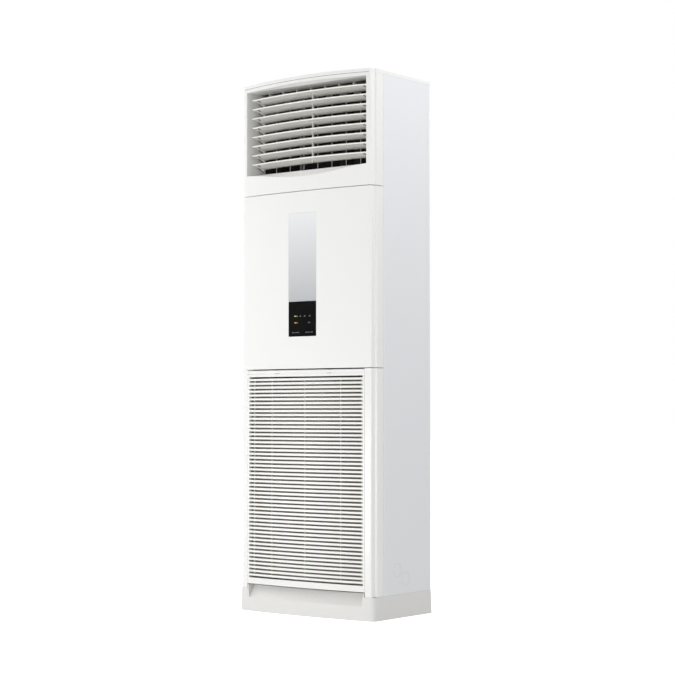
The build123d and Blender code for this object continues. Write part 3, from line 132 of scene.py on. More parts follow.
def white_for_the_camera(tree, strength_lighting):
    """A background that is white to the rays that see it and dimmer as a light."""
    mix = tree.nodes.new("ShaderNodeMixShader")
    tree.links.new(rays_seen(tree, "Is Camera Ray", "Is Glossy Ray", "Is Transmission Ray"), mix.inputs[0])
    for place, strength in ((1, strength_lighting), (2, 1.0)):
        background = tree.nodes.new("ShaderNodeBackground")
        background.inputs["Color"].default_value = (1.0, 1.0, 1.0, 1.0)
        background.inputs["Strength"].default_value = strength
        tree.links.new(background.outputs[0], mix.inputs[place])
    out = tree.nodes.new("ShaderNodeOutputWorld")
    tree.links.new(mix.outputs[0], out.inputs["Surface"])


world = bpy.data.worlds.new("studio")
world.use_nodes = True
world.node_tree.nodes.clear()
white_for_the_camera(world.node_tree, world_light)
bpy.context.scene.world = world
bpy.context.scene.view_settings.view_transform = "Standard"
print("world light", world_light)

# %% Ground
ground_light = 0.90
ground_colour = (0.60, 0.60, 0.595, 1.0)
ground_reach = 30.0
ground_mesh = bpy.data.meshes.new("ground")
ground_corners = [(x * ground_reach, y * ground_reach, 0) for x, y in ((-1, -1), (1, -1), (1, 1), (-1, 1))]
ground_mesh.from_pydata(ground_corners, [], [(0, 1, 2, 3)])
ground = bpy.data.objects.new("ground", ground_mesh)
bpy.context.scene.collection.objects.link(ground)
ground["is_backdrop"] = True

ground_finish = bpy.data.materials.new("ground")
ground_finish.use_nodes = True
tree = ground_finish.node_tree
tree.nodes.clear()
matte = tree.nodes.new("ShaderNodeBsdfDiffuse")
matte.inputs["Color"].default_value = ground_colour
glow_strength = tree.nodes.new("ShaderNodeMath")
glow_strength.operation = "MULTIPLY"
glow_strength.inputs[1].default_value = ground_light
tree.links.new(rays_seen(tree, "Is Camera Ray", "Is Glossy Ray"), glow_strength.inputs[0])
glow = tree.nodes.new("ShaderNodeEmission")
tree.links.new(glow_strength.outputs[0], glow.inputs["Strength"])
both = tree.nodes.new("ShaderNodeAddShader")
tree.links.new(matte.outputs[0], both.inputs[0])
tree.links.new(glow.outputs[0], both.inputs[1])
out = tree.nodes.new("ShaderNodeOutputMaterial")
tree.links.new(both.outputs[0], out.inputs["Surface"])
ground.data.materials.append(ground_finish)
print("ground light", ground_light)

# %% [markdown]
# ## Shared effects as node groups
# Several finishes of the unit share an effect: the fine grain that a spark-eroded mould leaves on
# plastic, the dust that settles on what faces up, the rubbed look of an edge, the brush marks of
# rolled metal and the crystals of hot-dip zinc. Each could be copied into every material, but a
# shader node group with named sockets is built once and takes its own values in each material.
# A group puts out only masks and heights; the Principled shader stays in the material.

# %% Helpers for shader groups
def shader_group(name, inputs, outputs):
    """A new shader node group, with its input and output nodes."""
    group = bpy.data.node_groups.new(name, "ShaderNodeTree")
    for label, kind, value in inputs:
        socket = group.interface.new_socket(name=label, in_out="INPUT", socket_type=kind)
        if value is not None:
            socket.default_value = value
    for label in outputs:
        group.interface.new_socket(name=label, in_out="OUTPUT", socket_type="NodeSocketFloat")
    return group, group.nodes.new("NodeGroupInput"), group.nodes.new("NodeGroupOutput")


def maths(tree, operation, first, second=None, clamp=False):
    """A Math node; first and second are sockets or numbers."""
    node = tree.nodes.new("ShaderNodeMath")
    node.operation = operation
    node.use_clamp = clamp
    for place, value in enumerate((first, second)):
        if value is None:
            continue
        if isinstance(value, (int, float)):
            node.inputs[place].default_value = value
        else:
            tree.links.new(value, node.inputs[place])
    return node.outputs[0]


def product(tree, *values):
    """The values multiplied with one another."""
    result = values[0]
    for value in values[1:]:
        result = maths(tree, "MULTIPLY", result, value)
    return result


def stretched(tree, value, from_low, from_high, to_low=0.0, to_high=1.0):
    """Map Range from one span of a varying value to another, clamped."""
    node = tree.nodes.new("ShaderNodeMapRange")
    tree.links.new(value, node.inputs["Value"])
    node.inputs["From Min"].default_value = from_low
    node.inputs["From Max"].default_value = from_high
    node.inputs["To Min"].default_value = to_low
    node.inputs["To Max"].default_value = to_high
    return node.outputs["Result"]


def noise_at(tree, vector, scale, detail=2.0, roughness=0.5):
    """A Noise texture; scale is a number or a socket."""
    node = tree.nodes.new("ShaderNodeTexNoise")
    tree.links.new(vector, node.inputs["Vector"])
    if isinstance(scale, (int, float)):
        node.inputs["Scale"].default_value = scale
    else:
        tree.links.new(scale, node.inputs["Scale"])
    node.inputs["Detail"].default_value = detail
    node.inputs["Roughness"].default_value = roughness
    return node.outputs["Fac"]


print("helpers for node groups are ready")

# %% Mould grain, dust and rubbed edges
mould_grain, g_in, g_out = shader_group(
    "mould_grain",
    [("Coordinates", "NodeSocketVector", None), ("Grain scale", "NodeSocketFloat", 1500.0),
     ("Cloud scale", "NodeSocketFloat", 5.0)],
    ["Height", "Cloud"],
)
fine = noise_at(mould_grain, g_in.outputs["Coordinates"], g_in.outputs["Grain scale"], 3.0, 0.6)
wide = noise_at(mould_grain, g_in.outputs["Coordinates"], g_in.outputs["Cloud scale"], 2.0, 0.45)
mould_grain.links.new(fine, g_out.inputs["Height"])
mould_grain.links.new(stretched(mould_grain, wide, 0.25, 0.75), g_out.inputs["Cloud"])

settled_dust, g_in, g_out = shader_group(
    "settled_dust",
    [("Coordinates", "NodeSocketVector", None), ("Amount", "NodeSocketFloat", 0.2)],
    ["Mask"],
)
facing = settled_dust.nodes.new("ShaderNodeNewGeometry")
parts = settled_dust.nodes.new("ShaderNodeSeparateXYZ")
settled_dust.links.new(facing.outputs["Normal"], parts.inputs["Vector"])
upward = stretched(settled_dust, parts.outputs["Z"], 0.35, 0.98)
patches = noise_at(settled_dust, g_in.outputs["Coordinates"], 70.0, 6.0, 0.7)
patchy = stretched(settled_dust, patches, 0.36, 0.62)
settled_dust.links.new(product(settled_dust, upward, patchy, g_in.outputs["Amount"]), g_out.inputs["Mask"])

edge_wear, g_in, g_out = shader_group(
    "edge_wear",
    [("Coordinates", "NodeSocketVector", None), ("Amount", "NodeSocketFloat", 0.3)],
    ["Mask"],
)
shape = edge_wear.nodes.new("ShaderNodeNewGeometry")
ridge = stretched(edge_wear, shape.outputs["Pointiness"], 0.53, 0.62)
nicks = noise_at(edge_wear, g_in.outputs["Coordinates"], 180.0, 4.0, 0.65)
broken = stretched(edge_wear, nicks, 0.40, 0.60)
edge_wear.links.new(product(edge_wear, ridge, broken, g_in.outputs["Amount"]), g_out.inputs["Mask"])
print("groups", mould_grain.name, settled_dust.name, edge_wear.name)

# %% Brush marks and zinc crystals
brushed_grain, g_in, g_out = shader_group(
    "brushed_grain",
    [("Coordinates", "NodeSocketVector", None), ("Stretch", "NodeSocketVector", (20.0, 20.0, 1500.0))],
    ["Height", "Streak"],
)
drawn = brushed_grain.nodes.new("ShaderNodeVectorMath")
drawn.operation = "MULTIPLY"
brushed_grain.links.new(g_in.outputs["Coordinates"], drawn.inputs[0])
brushed_grain.links.new(g_in.outputs["Stretch"], drawn.inputs[1])
streak = noise_at(brushed_grain, drawn.outputs[0], 1.0, 3.0, 0.6)
brushed_grain.links.new(streak, g_out.inputs["Height"])
brushed_grain.links.new(stretched(brushed_grain, streak, 0.30, 0.70), g_out.inputs["Streak"])

zinc_spangle, g_in, g_out = shader_group(
    "zinc_spangle",
    [("Coordinates", "NodeSocketVector", None), ("Crystal scale", "NodeSocketFloat", 75.0)],
    ["Tone", "Height"],
)
crystals = zinc_spangle.nodes.new("ShaderNodeTexVoronoi")
zinc_spangle.links.new(g_in.outputs["Coordinates"], crystals.inputs["Vector"])
zinc_spangle.links.new(g_in.outputs["Crystal scale"], crystals.inputs["Scale"])
crystal = zinc_spangle.nodes.new("ShaderNodeSeparateColor")
zinc_spangle.links.new(crystals.outputs["Color"], crystal.inputs["Color"])
frost = noise_at(zinc_spangle, g_in.outputs["Coordinates"], 900.0, 2.0)
tone = maths(zinc_spangle, "ADD", maths(zinc_spangle, "MULTIPLY", crystal.outputs["Red"], 0.7), 0.5)
zinc_spangle.links.new(tone, g_out.inputs["Tone"])
relief = maths(zinc_spangle, "MULTIPLY", maths(zinc_spangle, "ADD", crystal.outputs["Green"], frost), 0.5)
zinc_spangle.links.new(relief, g_out.inputs["Height"])
print("groups", brushed_grain.name, zinc_spangle.name)

# %% [markdown]
# ## Finishes of the plastic and painted pieces
# The front is injection moulded, glossy and a little warm. The side panels are painted sheet, cooler
# and with a faint orange peel. The louvers are creamier, and the linkages behind them are plain
# natural nylon. They could share one white, but in the photograph the joints between them read
# because each white differs, so each slot gets its own tone, gloss and grain from the same groups.

# %% Helpers that make a finish
finishes = {}
dust_colour = (0.52, 0.50, 0.46)


def start_finish(name):
    """Open a material under its slot's name; returns its tree, Principled shader and coordinates."""
    finishes[name] = bpy.data.materials.new(name)
    finishes[name].use_nodes = True
    tree = finishes[name].node_tree
    place = tree.nodes.new("ShaderNodeTexCoord")
    return tree, tree.nodes["Principled BSDF"], place.outputs["Object"]


def use_group(tree, group, coordinates, **values):
    """Place a shared group in a material and give its inputs their values."""
    node = tree.nodes.new("ShaderNodeGroup")
    node.node_tree = group
    tree.links.new(coordinates, node.inputs["Coordinates"])
    for label, value in values.items():
        node.inputs[label.replace("_", " ")].default_value = value
    return node.outputs


def between(tree, mask, low_colour, high_colour):
    """Colour that runs from one to another as a mask rises; each is a colour or a socket."""
    mix = tree.nodes.new("ShaderNodeMix")
    mix.data_type = "RGBA"
    tree.links.new(mask, mix.inputs[0])
    for place, value in ((6, low_colour), (7, high_colour)):
        if isinstance(value, tuple):
            mix.inputs[place].default_value = (*value, 1.0)
        else:
            tree.links.new(value, mix.inputs[place])
    return mix.outputs[2]


def feed(tree, shader, colour, roughness, height=None, distance=0.0, **own):
    """Link colour, roughness and a bump of some distance in metres, and set the shader's own numbers."""
    tree.links.new(colour, shader.inputs["Base Color"])
    tree.links.new(roughness, shader.inputs["Roughness"])
    for label, value in own.items():
        shader.inputs[label.replace("_", " ")].default_value = value
    if height is not None:
        bump = tree.nodes.new("ShaderNodeBump")
        bump.inputs["Distance"].default_value = distance
        tree.links.new(height, bump.inputs["Height"])
        tree.links.new(bump.outputs["Normal"], shader.inputs["Normal"])


def moulded(name, colour, gloss, grain=1500.0, depth=0.00002, dust=0.10, coat=0.0, specular=0.5):
    """Moulded plastic or paint: fine grain in tone and gloss, dust on top and lighter rubbed edges."""
    tree, shader, place = start_finish(name)
    grain_out = use_group(tree, mould_grain, place, Grain_scale=grain)
    dust_mask = use_group(tree, settled_dust, place, Amount=dust)["Mask"]
    wear_mask = use_group(tree, edge_wear, place, Amount=0.10)["Mask"]
    deep = tuple(c * 0.996 for c in colour)
    pale = tuple(min(c * 1.004, 0.9) for c in colour)
    rubbed = tuple(min(c * 1.15 + 0.04, 0.92) for c in colour)
    worn = between(tree, wear_mask, between(tree, grain_out["Height"], deep, pale), rubbed)
    rough = stretched(tree, grain_out["Height"], 0.3, 0.7, gloss - 0.02, gloss + 0.03)
    dusty = maths(tree, "ADD", rough, maths(tree, "MULTIPLY", dust_mask, 0.5), clamp=True)
    feed(tree, shader, between(tree, dust_mask, worn, dust_colour), dusty, grain_out["Height"], depth,
         Coat_Weight=coat, Coat_Roughness=0.12, Specular_IOR_Level=specular)


print("helpers for finishes are ready")

# %% Moulded and painted finishes
moulded("panel_white", (0.83, 0.83, 0.815), 0.26, depth=0.00001, dust=0.12, coat=0.2)
moulded("cabinet_paint", (0.77, 0.785, 0.81), 0.40, grain=420.0, depth=0.00003)
moulded("foot_white", (0.72, 0.715, 0.70), 0.42, grain=1100.0, depth=0.00003, dust=0.22)
moulded("grille_white", (0.82, 0.82, 0.80), 0.34, depth=0.000012)
moulded("louver_white", (0.89, 0.88, 0.84), 0.33)
moulded("mechanism_white", (0.70, 0.69, 0.65), 0.42, depth=0.00003)
# pad_brown colours the soft pads, and also the dark outlines round the louver lugs, which are painted shade.
moulded("pad_brown", (0.085, 0.06, 0.045), 0.6, specular=0.2)
# Grey of the bead in the lid joint: painted shade for the joint's shadow line.
moulded("seal_grey", (0.22, 0.22, 0.225), 0.7, specular=0.2)
# A darker grey than the side paint: painted shade along the knockout scores.
moulded("score_grey", (0.66, 0.67, 0.69), 0.5)
# Near black; on the lining sheets drawn further down this colour is painted shade of the dark duct.
moulded("duct_black", (0.018, 0.018, 0.019), 0.65, grain=700.0, depth=0.00005, dust=0.04)
moulded("filter_grey", (0.50, 0.48, 0.43), 0.50)
moulded("motor_black", (0.035, 0.036, 0.04), 0.40, grain=600.0, depth=0.00004)
moulded("control_black", (0.022, 0.022, 0.024), 0.48, grain=900.0, depth=0.00003)
print("moulded and painted finishes", sorted(finishes))

# %% [markdown]
# ## Finishes of the metal pieces
# Behind the panels the unit is zinc coated sheet, with aluminium fins, drawn copper pipe, brass
# flare nuts and a turned steel shaft. Metal is told apart by its colour and by how its gloss
# breaks up: crystals on zinc, brush marks along the fins, a cloudy tarnish on copper. The crystals and
# marks come from the groups, and the metal itself is the shader's own Metallic value.

# %% Zinc, aluminium, steel, copper and brass
tree, shader, place = start_finish("zinc_sheet")
spangle = use_group(tree, zinc_spangle, place, Crystal_scale=130.0)
sheet_dust = use_group(tree, settled_dust, place, Amount=0.15)
zinc = between(tree, spangle["Tone"], (0.43, 0.445, 0.46), (0.52, 0.53, 0.545))
feed(tree, shader, between(tree, sheet_dust["Mask"], zinc, (0.42, 0.40, 0.36)),
     stretched(tree, spangle["Tone"], 0.0, 1.0, 0.34, 0.52), spangle["Height"], 0.00003, Metallic=0.85)


def bare_metal(name, deep, pale, gloss, stretch):
    """Bare metal with brush marks; stretch is how often they come along X, Y and Z."""
    tree, shader, place = start_finish(name)
    marks = use_group(tree, brushed_grain, place, Stretch=stretch)
    tarnish = use_group(tree, mould_grain, place, Grain_scale=300.0, Cloud_scale=28.0)
    mixed = maths(tree, "MULTIPLY", maths(tree, "ADD", marks["Streak"], tarnish["Cloud"]), 0.5)
    feed(tree, shader, between(tree, mixed, deep, pale),
         stretched(tree, mixed, 0.0, 1.0, gloss + 0.10, gloss - 0.05), marks["Height"], 0.00001, Metallic=1.0)


bare_metal("fin_aluminium", (0.58, 0.59, 0.60), (0.80, 0.81, 0.82), 0.34, (900.0, 60.0, 60.0))
bare_metal("steel_shaft", (0.42, 0.42, 0.43), (0.62, 0.62, 0.63), 0.26, (80.0, 1600.0, 80.0))
bare_metal("copper", (0.50, 0.22, 0.13), (0.80, 0.42, 0.28), 0.28, (260.0, 260.0, 30.0))
bare_metal("nut_brass", (0.55, 0.40, 0.16), (0.83, 0.66, 0.34), 0.30, (120.0, 120.0, 1400.0))
print("metal finishes added,", len(finishes), "in all")

# %% [markdown]
# ## The silver strip and the black window
# The strip on the middle panel is a metallic film. Its colour fades from a pale lilac silver at the
# top to grey at the foot. This is painted shade that stands in for the reflection that brightens its top.
# Lit that way it would change as it is walked round, so the fade is painted into the colour. The window below
# is smoked acrylic, nearly black, with a thin haze from wiping. Its mirror is kept low by its own specular
# level, as a matt hard coat does.

# %% Silver film and smoked acrylic
strip_split = 1088.0
strip_top = 1398.0


def along(tree, place, axis):
    """One axis of the object's coordinates, in metres."""
    axes = tree.nodes.new("ShaderNodeSeparateXYZ")
    tree.links.new(place, axes.inputs["Vector"])
    return axes.outputs[axis]


tree, shader, place = start_finish("silver_strip")
# Painted shade: the colour fades from grey at the foot to pale at the top, standing in for the reflection on
# the film.
painted_fade = stretched(tree, along(tree, place, "Z"), strip_split / 1000, strip_top / 1000)
flakes = stretched(tree, noise_at(tree, place, 2600.0, 2.0), 0.35, 0.65, 0.0, 0.08)
sheen = use_group(tree, mould_grain, place, Grain_scale=2600.0, Cloud_scale=9.0)
film = between(tree, painted_fade, (0.40, 0.415, 0.43), (0.76, 0.765, 0.78))
feed(tree, shader, between(tree, flakes, film, (0.85, 0.86, 0.88)),
     stretched(tree, sheen["Cloud"], 0.0, 1.0, 0.36, 0.42), sheen["Height"], 0.000008,
     Metallic=0.2, Specular_IOR_Level=0.3)

tree, shader, place = start_finish("black_window")
haze = use_group(tree, mould_grain, place, Grain_scale=900.0, Cloud_scale=22.0)["Cloud"]
wiped = use_group(tree, brushed_grain, place, Stretch=(30.0, 30.0, 260.0))
smear = maths(tree, "MULTIPLY", haze, wiped["Streak"])
feed(tree, shader, between(tree, haze, (0.0035, 0.0035, 0.004), (0.0065, 0.0065, 0.007)),
     stretched(tree, smear, 0.0, 1.0, 0.10, 0.24), wiped["Height"], 0.000002, Specular_IOR_Level=0.04)
print("strip fades between", strip_split, "and", strip_top, "mm")

# %% [markdown]
# ## Swing vanes and the marks behind the window
# The vanes stand deep in the duct. Their bodies are coloured near black, a painted shade that keeps the gaps
# between the louvers black, and their leading edges and upper ends are coloured pale, a painted highlight,
# so each vane shows as a thin light line. The marks of the display are inks: two glow, the others only show as
# a dull grey.

# %% Vane plastic and display inks
tree, shader, place = start_finish("vane_grey")
vane_front, bush_front, bush_low = -0.049, -0.045, 1.835
vane_y, vane_z = along(tree, place, "Y"), along(tree, place, "Z")
front_face = stretched(tree, vane_y, vane_front + 0.0004, vane_front - 0.0004)
upper_end = maths(tree, "MULTIPLY", stretched(tree, vane_y, bush_front + 0.001, bush_front - 0.001),
                  stretched(tree, vane_z, bush_low - 0.001, bush_low + 0.001))
vane_grain = use_group(tree, mould_grain, place, Grain_scale=1100.0)
# Near-black body as painted shade, and pale leading edges and upper ends as a painted highlight.
shaded_body_grey = between(tree, vane_grain["Cloud"], (0.022, 0.022, 0.022), (0.030, 0.030, 0.029))
highlight_mask = maths(tree, "MAXIMUM", front_face, upper_end)
feed(tree, shader, between(tree, highlight_mask, shaded_body_grey, (0.66, 0.66, 0.63)),
     stretched(tree, vane_grain["Cloud"], 0.0, 1.0, 0.60, 0.70), vane_grain["Height"], 0.00003,
     Specular_IOR_Level=0.08)


def display_ink(name, colour, glow=0.0):
    """Ink of a display mark, glowing a little unevenly where it is lit."""
    tree, shader, place = start_finish(name)
    dots = use_group(tree, mould_grain, place, Grain_scale=1800.0, Cloud_scale=240.0)
    ink = between(tree, dots["Cloud"], tuple(c * 0.7 for c in colour), colour)
    feed(tree, shader, ink, stretched(tree, dots["Height"], 0.3, 0.7, 0.4, 0.6))
    if glow:
        tree.links.new(ink, shader.inputs["Emission Color"])
        shader.inputs["Emission Strength"].default_value = glow


display_ink("lit_green", (0.28, 0.42, 0.07), 0.35)
display_ink("lit_amber", (0.55, 0.24, 0.04), 0.30)
display_ink("printed_grey", (0.20, 0.205, 0.21))
print("finishes", len(finishes))

# %% [markdown]
# ## The filter net, the foam pan and the circuit boards
# The net behind the grille is woven from dark threads two millimetres apart. Modelling hundreds of
# crossing threads isn't worth it behind narrow slots, so the weave is drawn by two crossed waves:
# they raise the threads, and the holes get a near-black colour, painted shade of the dark inside seen
# through them. The drain pan is cut foam, which shows as packed beads whose colour darkens between
# the beads as painted shade, and a circuit board shows tracks under a green film.

# %% Net, foam and board finishes
thread_pitch = 0.0022


def crossed_threads(tree, place, pitch):
    """Height of threads that cross along X and Z, a pitch apart in metres."""
    waves = []
    for axis in ("X", "Z"):
        turn = maths(tree, "MULTIPLY", along(tree, place, axis), pi / pitch)
        waves.append(maths(tree, "POWER", maths(tree, "ABSOLUTE", maths(tree, "SINE", turn)), 3.0))
    return maths(tree, "MAXIMUM", *waves)


tree, shader, place = start_finish("net_dark")
threads = crossed_threads(tree, place, thread_pitch)
lint = use_group(tree, mould_grain, place, Grain_scale=600.0, Cloud_scale=12.0)
lint_mask = stretched(tree, lint["Cloud"], 0.3, 1.0, 0.0, 0.30)
# Near black in the holes: painted shade of the dark inside seen through the net.
clean = between(tree, threads, (0.048, 0.044, 0.034), (0.25, 0.228, 0.18))
feed(tree, shader, between(tree, lint_mask, clean, (0.30, 0.27, 0.21)),
     stretched(tree, threads, 0.0, 1.0, 0.9, 0.6), threads, 0.0003)

tree, shader, place = start_finish("pan_foam")
beads = tree.nodes.new("ShaderNodeTexVoronoi")
beads.inputs["Scale"].default_value = 260.0
tree.links.new(place, beads.inputs["Vector"])
bead = stretched(tree, beads.outputs["Distance"], 0.0, 0.8)
foam_dust = use_group(tree, settled_dust, place, Amount=0.35)
# Darker away from each bead's centre: painted shade in the hollows between the beads.
packed = between(tree, bead, (0.72, 0.72, 0.70), (0.48, 0.48, 0.46))
feed(tree, shader, between(tree, foam_dust["Mask"], packed, (0.40, 0.38, 0.33)),
     stretched(tree, bead, 0.0, 1.0, 0.55, 0.8), maths(tree, "SUBTRACT", 1.0, bead), 0.0004)

tree, shader, place = start_finish("circuit_green")
turned = tree.nodes.new("ShaderNodeVectorRotate")
turned.rotation_type = "X_AXIS"
turned.inputs["Angle"].default_value = radians(90)
tree.links.new(place, turned.inputs["Vector"])
tracks = tree.nodes.new("ShaderNodeTexBrick")
tracks.inputs["Scale"].default_value = 55.0
tracks.inputs["Mortar Size"].default_value = 0.06
tree.links.new(turned.outputs["Vector"], tracks.inputs["Vector"])
solder = use_group(tree, mould_grain, place, Grain_scale=800.0, Cloud_scale=60.0)
mask_film = between(tree, solder["Cloud"], (0.010, 0.075, 0.030), (0.020, 0.120, 0.050))
feed(tree, shader, between(tree, tracks.outputs["Fac"], mask_film, (0.05, 0.23, 0.10)),
     stretched(tree, solder["Cloud"], 0.0, 1.0, 0.25, 0.42), tracks.outputs["Fac"], 0.00004)
print("finishes for", len(finishes), "slots")

# %% [markdown]
# ## Dress the carried-over nodes
# A node whose shape is right stays as CAD made it, and only its material slot changes. Its edges are
# knife sharp, though, and a moulded edge catches a thin line of light. A bevel modifier makes that
# line without touching the mesh: a weld joins the faces, a dissolve removes the triangles inside flat
# faces, and a weighted normal keeps the flats flat beside the rounded edges.

# %% Give every node its finish
slots = set()
for name, node in nodes.items():
    slot = node.material_slots[0].material.name.split(".")[0]
    slots.add(slot)
    node.material_slots[0].material = finishes[slot]
print("nodes dressed", len(nodes), "in", len(slots), "slots")

# %% Round the edges of the nodes that stay
def soften(name, width):
    """Round the sharp edges of a CAD node, width in millimetres, without touching its mesh."""
    node = nodes[name]
    weld = node.modifiers.new("weld", "WELD")
    weld.merge_threshold = 0.00001
    flat = node.modifiers.new("flat", "DECIMATE")
    flat.decimate_type = "DISSOLVE"
    flat.angle_limit = radians(0.2)
    bevel = node.modifiers.new("bevel", "BEVEL")
    bevel.width = width / 1000
    bevel.segments = 2
    bevel.limit_method = "ANGLE"
    bevel.angle_limit = radians(30)
    bevel.miter_outer = "MITER_ARC"
    normal = node.modifiers.new("normal", "WEIGHTED_NORMAL")
    normal.weight = 100


edge_rounds = {
    0.2: ["rear_panel", "control_board", "display_board"],
    0.3: ["side_panel_right", "side_panel_left", "display_window", "control_box", "control_box_cover"],
    0.4: ["wall_bracket", "louver_link", "vane_link", "terminal_block"],
    0.5: ["display_plate", "filter_frame", "hinge_brackets", "swing_motor", "motor_bracket", "flare_nuts"],
    0.8: ["grille_catches"],
    0.9: ["discharge_bezel", "front_panel", "lower_front_frame", "intake_grille"],
    1.0: ["drain_pan"],
    1.2: ["top_cover", "base_skirt"],
}
edge_rounds[0.5] += [f"vane_{i}" for i in range(1, 9)]
for width, names in edge_rounds.items():
    for name in names:
        soften(name, width)
print("rounded", sum(len(names) for names in edge_rounds.values()), "nodes")

# %% [markdown]
# ## Tools for drawing pieces
# The new pieces are drawn in millimetres, in the frame of the CAD, as closed meshes: a lathe turns a
# profile round an axis, a tube follows a path, and a slab stands on an outline. All of them join
# rings of vertices, which leaves clean quads that modifiers and the exported meshes can use.

# %% Circles and rings
def turned_on(place, along_z, across):
    """Matrix whose Z is an axis of turning through place, and whose X points across it."""
    z = Vector(along_z).normalized()
    x = Vector(across).normalized()
    return Matrix.Translation(Vector(place)) @ Matrix((x, z.cross(x), z)).transposed().to_4x4()


def on_circle(radius, angle, height=0.0):
    """Point on a circle round Z, at a height."""
    return Vector((radius * cos(angle), radius * sin(angle), height))


def ring_of(bm, points):
    """A vertex at each point."""
    return [bm.verts.new(p) for p in points]


def join_rings(bm, rings):
    """Close the wall between each ring of vertices and the next."""
    for lower, upper in zip(rings, rings[1:]):
        for i in range(len(lower)):
            k = (i + 1) % len(lower)
            bm.faces.new((lower[i], lower[k], upper[k], upper[i]))


def cap_ends(bm, rings):
    """Close the first and the last ring."""
    bm.faces.new(rings[0][::-1])
    bm.faces.new(rings[-1])


print("a quarter turn of 10 mm ends at", tuple(round(v, 3) for v in on_circle(10.0, pi / 2)))

# %% Lathe, rod, tube and slab
def lathe(bm, profile, matrix, sides=32):
    """Turn a closed profile of (radius, height) round the matrix's Z."""
    rings = [ring_of(bm, [matrix @ on_circle(r, 2 * pi * i / sides, h) for r, h in profile])
             for i in range(sides)]
    join_rings(bm, rings + rings[:1])


def rod_rings(bm, profile, matrix, sides):
    """One ring of vertices for each (radius, height) of an open profile."""
    return [ring_of(bm, [matrix @ on_circle(r, 2 * pi * i / sides, h) for i in range(sides)])
            for r, h in profile]


def rod(bm, profile, matrix, sides=20):
    """Turn an open profile round the matrix's Z and cap both ends."""
    rings = rod_rings(bm, profile, matrix, sides)
    join_rings(bm, rings)
    cap_ends(bm, rings)


def tube(bm, path, radius, sides=16):
    """Round bar along a flat path of points, capped at its ends."""
    path = [Vector(p) for p in path]
    ways = [(b - a).normalized() for a, b in zip(path, path[1:])]
    side = next(a.cross(b).normalized() for a, b in zip(ways, ways[1:]) if a.cross(b).length > 1e-6)
    rings = []
    for i, point in enumerate(path):
        way = (ways[max(i - 1, 0)] + ways[min(i, len(ways) - 1)]).normalized()
        up = side.cross(way).normalized()
        turns = [on_circle(radius, 2 * pi * k / sides) for k in range(sides)]
        rings.append(ring_of(bm, [point + t.x * side + t.y * up for t in turns]))
    join_rings(bm, rings)
    cap_ends(bm, rings)


def slab(bm, outline, lift):
    """Closed slab between an outline of points and the same outline moved by lift."""
    rings = [ring_of(bm, [Vector(p) + step for p in outline]) for step in (Vector(), Vector(lift))]
    join_rings(bm, rings)
    cap_ends(bm, rings)


print("drawing tools are ready")

# %% Close a drawing as a piece
def make_piece(name, bm, body, slot, stands_for=()):
    """Close a drawing in millimetres as an object that rides on a body, with its slot's finish."""
    bmesh.ops.recalc_face_normals(bm, faces=bm.faces)
    bmesh.ops.scale(bm, vec=(0.001, 0.001, 0.001), verts=bm.verts)
    mesh = bpy.data.meshes.new(name)
    bm.to_mesh(mesh)
    bm.free()
    mesh.shade_smooth()
    mesh.set_sharp_from_angle(angle=radians(35))
    mesh.materials.append(finishes[slot])
    piece = bpy.data.objects.new(name, mesh)
    bpy.context.scene.collection.objects.link(piece)
    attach(piece, body)
    if stands_for:
        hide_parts(*stands_for)
    return piece


print("pieces can be closed with", len(finishes), "finishes")

# %% [markdown]
# ## Louvers with a rolled lip
# Each louver is a long moulded blade whose front edge follows the bow of the cabinet. Its lip is
# thicker than the blade and rounded, which is why it shows as a bright line. Behind a channel, which
# shows as a darker line, the blade turns up a little and takes the light again. One closed section is
# drawn and carried across the width in steps, shifted with the bow; at the middle the section splits,
# which leaves the window for the link.

# %% Sizes of the louvers
front_y = -176.5
bow_half = 279.0
bow_rise = 16.0
bow_radius = (bow_half**2 + bow_rise**2) / (2 * bow_rise)
bow_centre = front_y + bow_radius
louver_pivot_y = -82.0
louver_heights = [1814.5 - 33.4 * i for i in range(8)]
louver_tilt = radians(10.0)
louver_half = 260.0
louver_jamb = 267.7
lug_x = 256.2
window_near = 33.65
window_far = 47.65
window_half = 4.5


def bow_y(x):
    """Y of the bowed front at x."""
    return bow_centre - sqrt(bow_radius**2 - x * x)


lip = [(6.5, -1.4), (4.9, -1.7), (3.8, -2.9), (2.5, -3.4), (1.1, -3.1), (0.25, -2.0), (0.0, -0.7), (0.3, 0.6),
       (1.2, 1.35), (2.6, 1.5)]
upper = [(window_near, 1.5), (window_far, 1.5), (52.0, 1.7), (64.0, 3.2), (71.4, 4.2), (73.2, 3.6)]
lower = [(73.2, 2.8), (71.6, 2.2), (57.0, 0.3), (55.6, 1.1), (51.4, 0.5), (49.6, -1.4), (window_far, -1.5),
         (window_near, -1.5)]
section = lip + upper + lower
near_top, far_top = len(lip), len(lip) + 1
far_low, near_low = len(section) - 2, len(section) - 1
print("louver section has", len(section), "points, bow radius", round(bow_radius, 1), "mm")

# %% Draw the blades
def tilted(x, back, up, z):
    """Place of a point back from the pivot at z and up from the louver's middle plane."""
    return Vector((x, louver_pivot_y + back * cos(louver_tilt) + up * sin(louver_tilt),
                   z - back * sin(louver_tilt) + up * cos(louver_tilt)))


def louver_point(x, back, up, z):
    """Place of a point of the louver that pivots at z: back from its front edge, up from its middle."""
    return tilted(x, back - (louver_pivot_y - bow_y(x) - 20.0) / cos(louver_tilt), up, z)


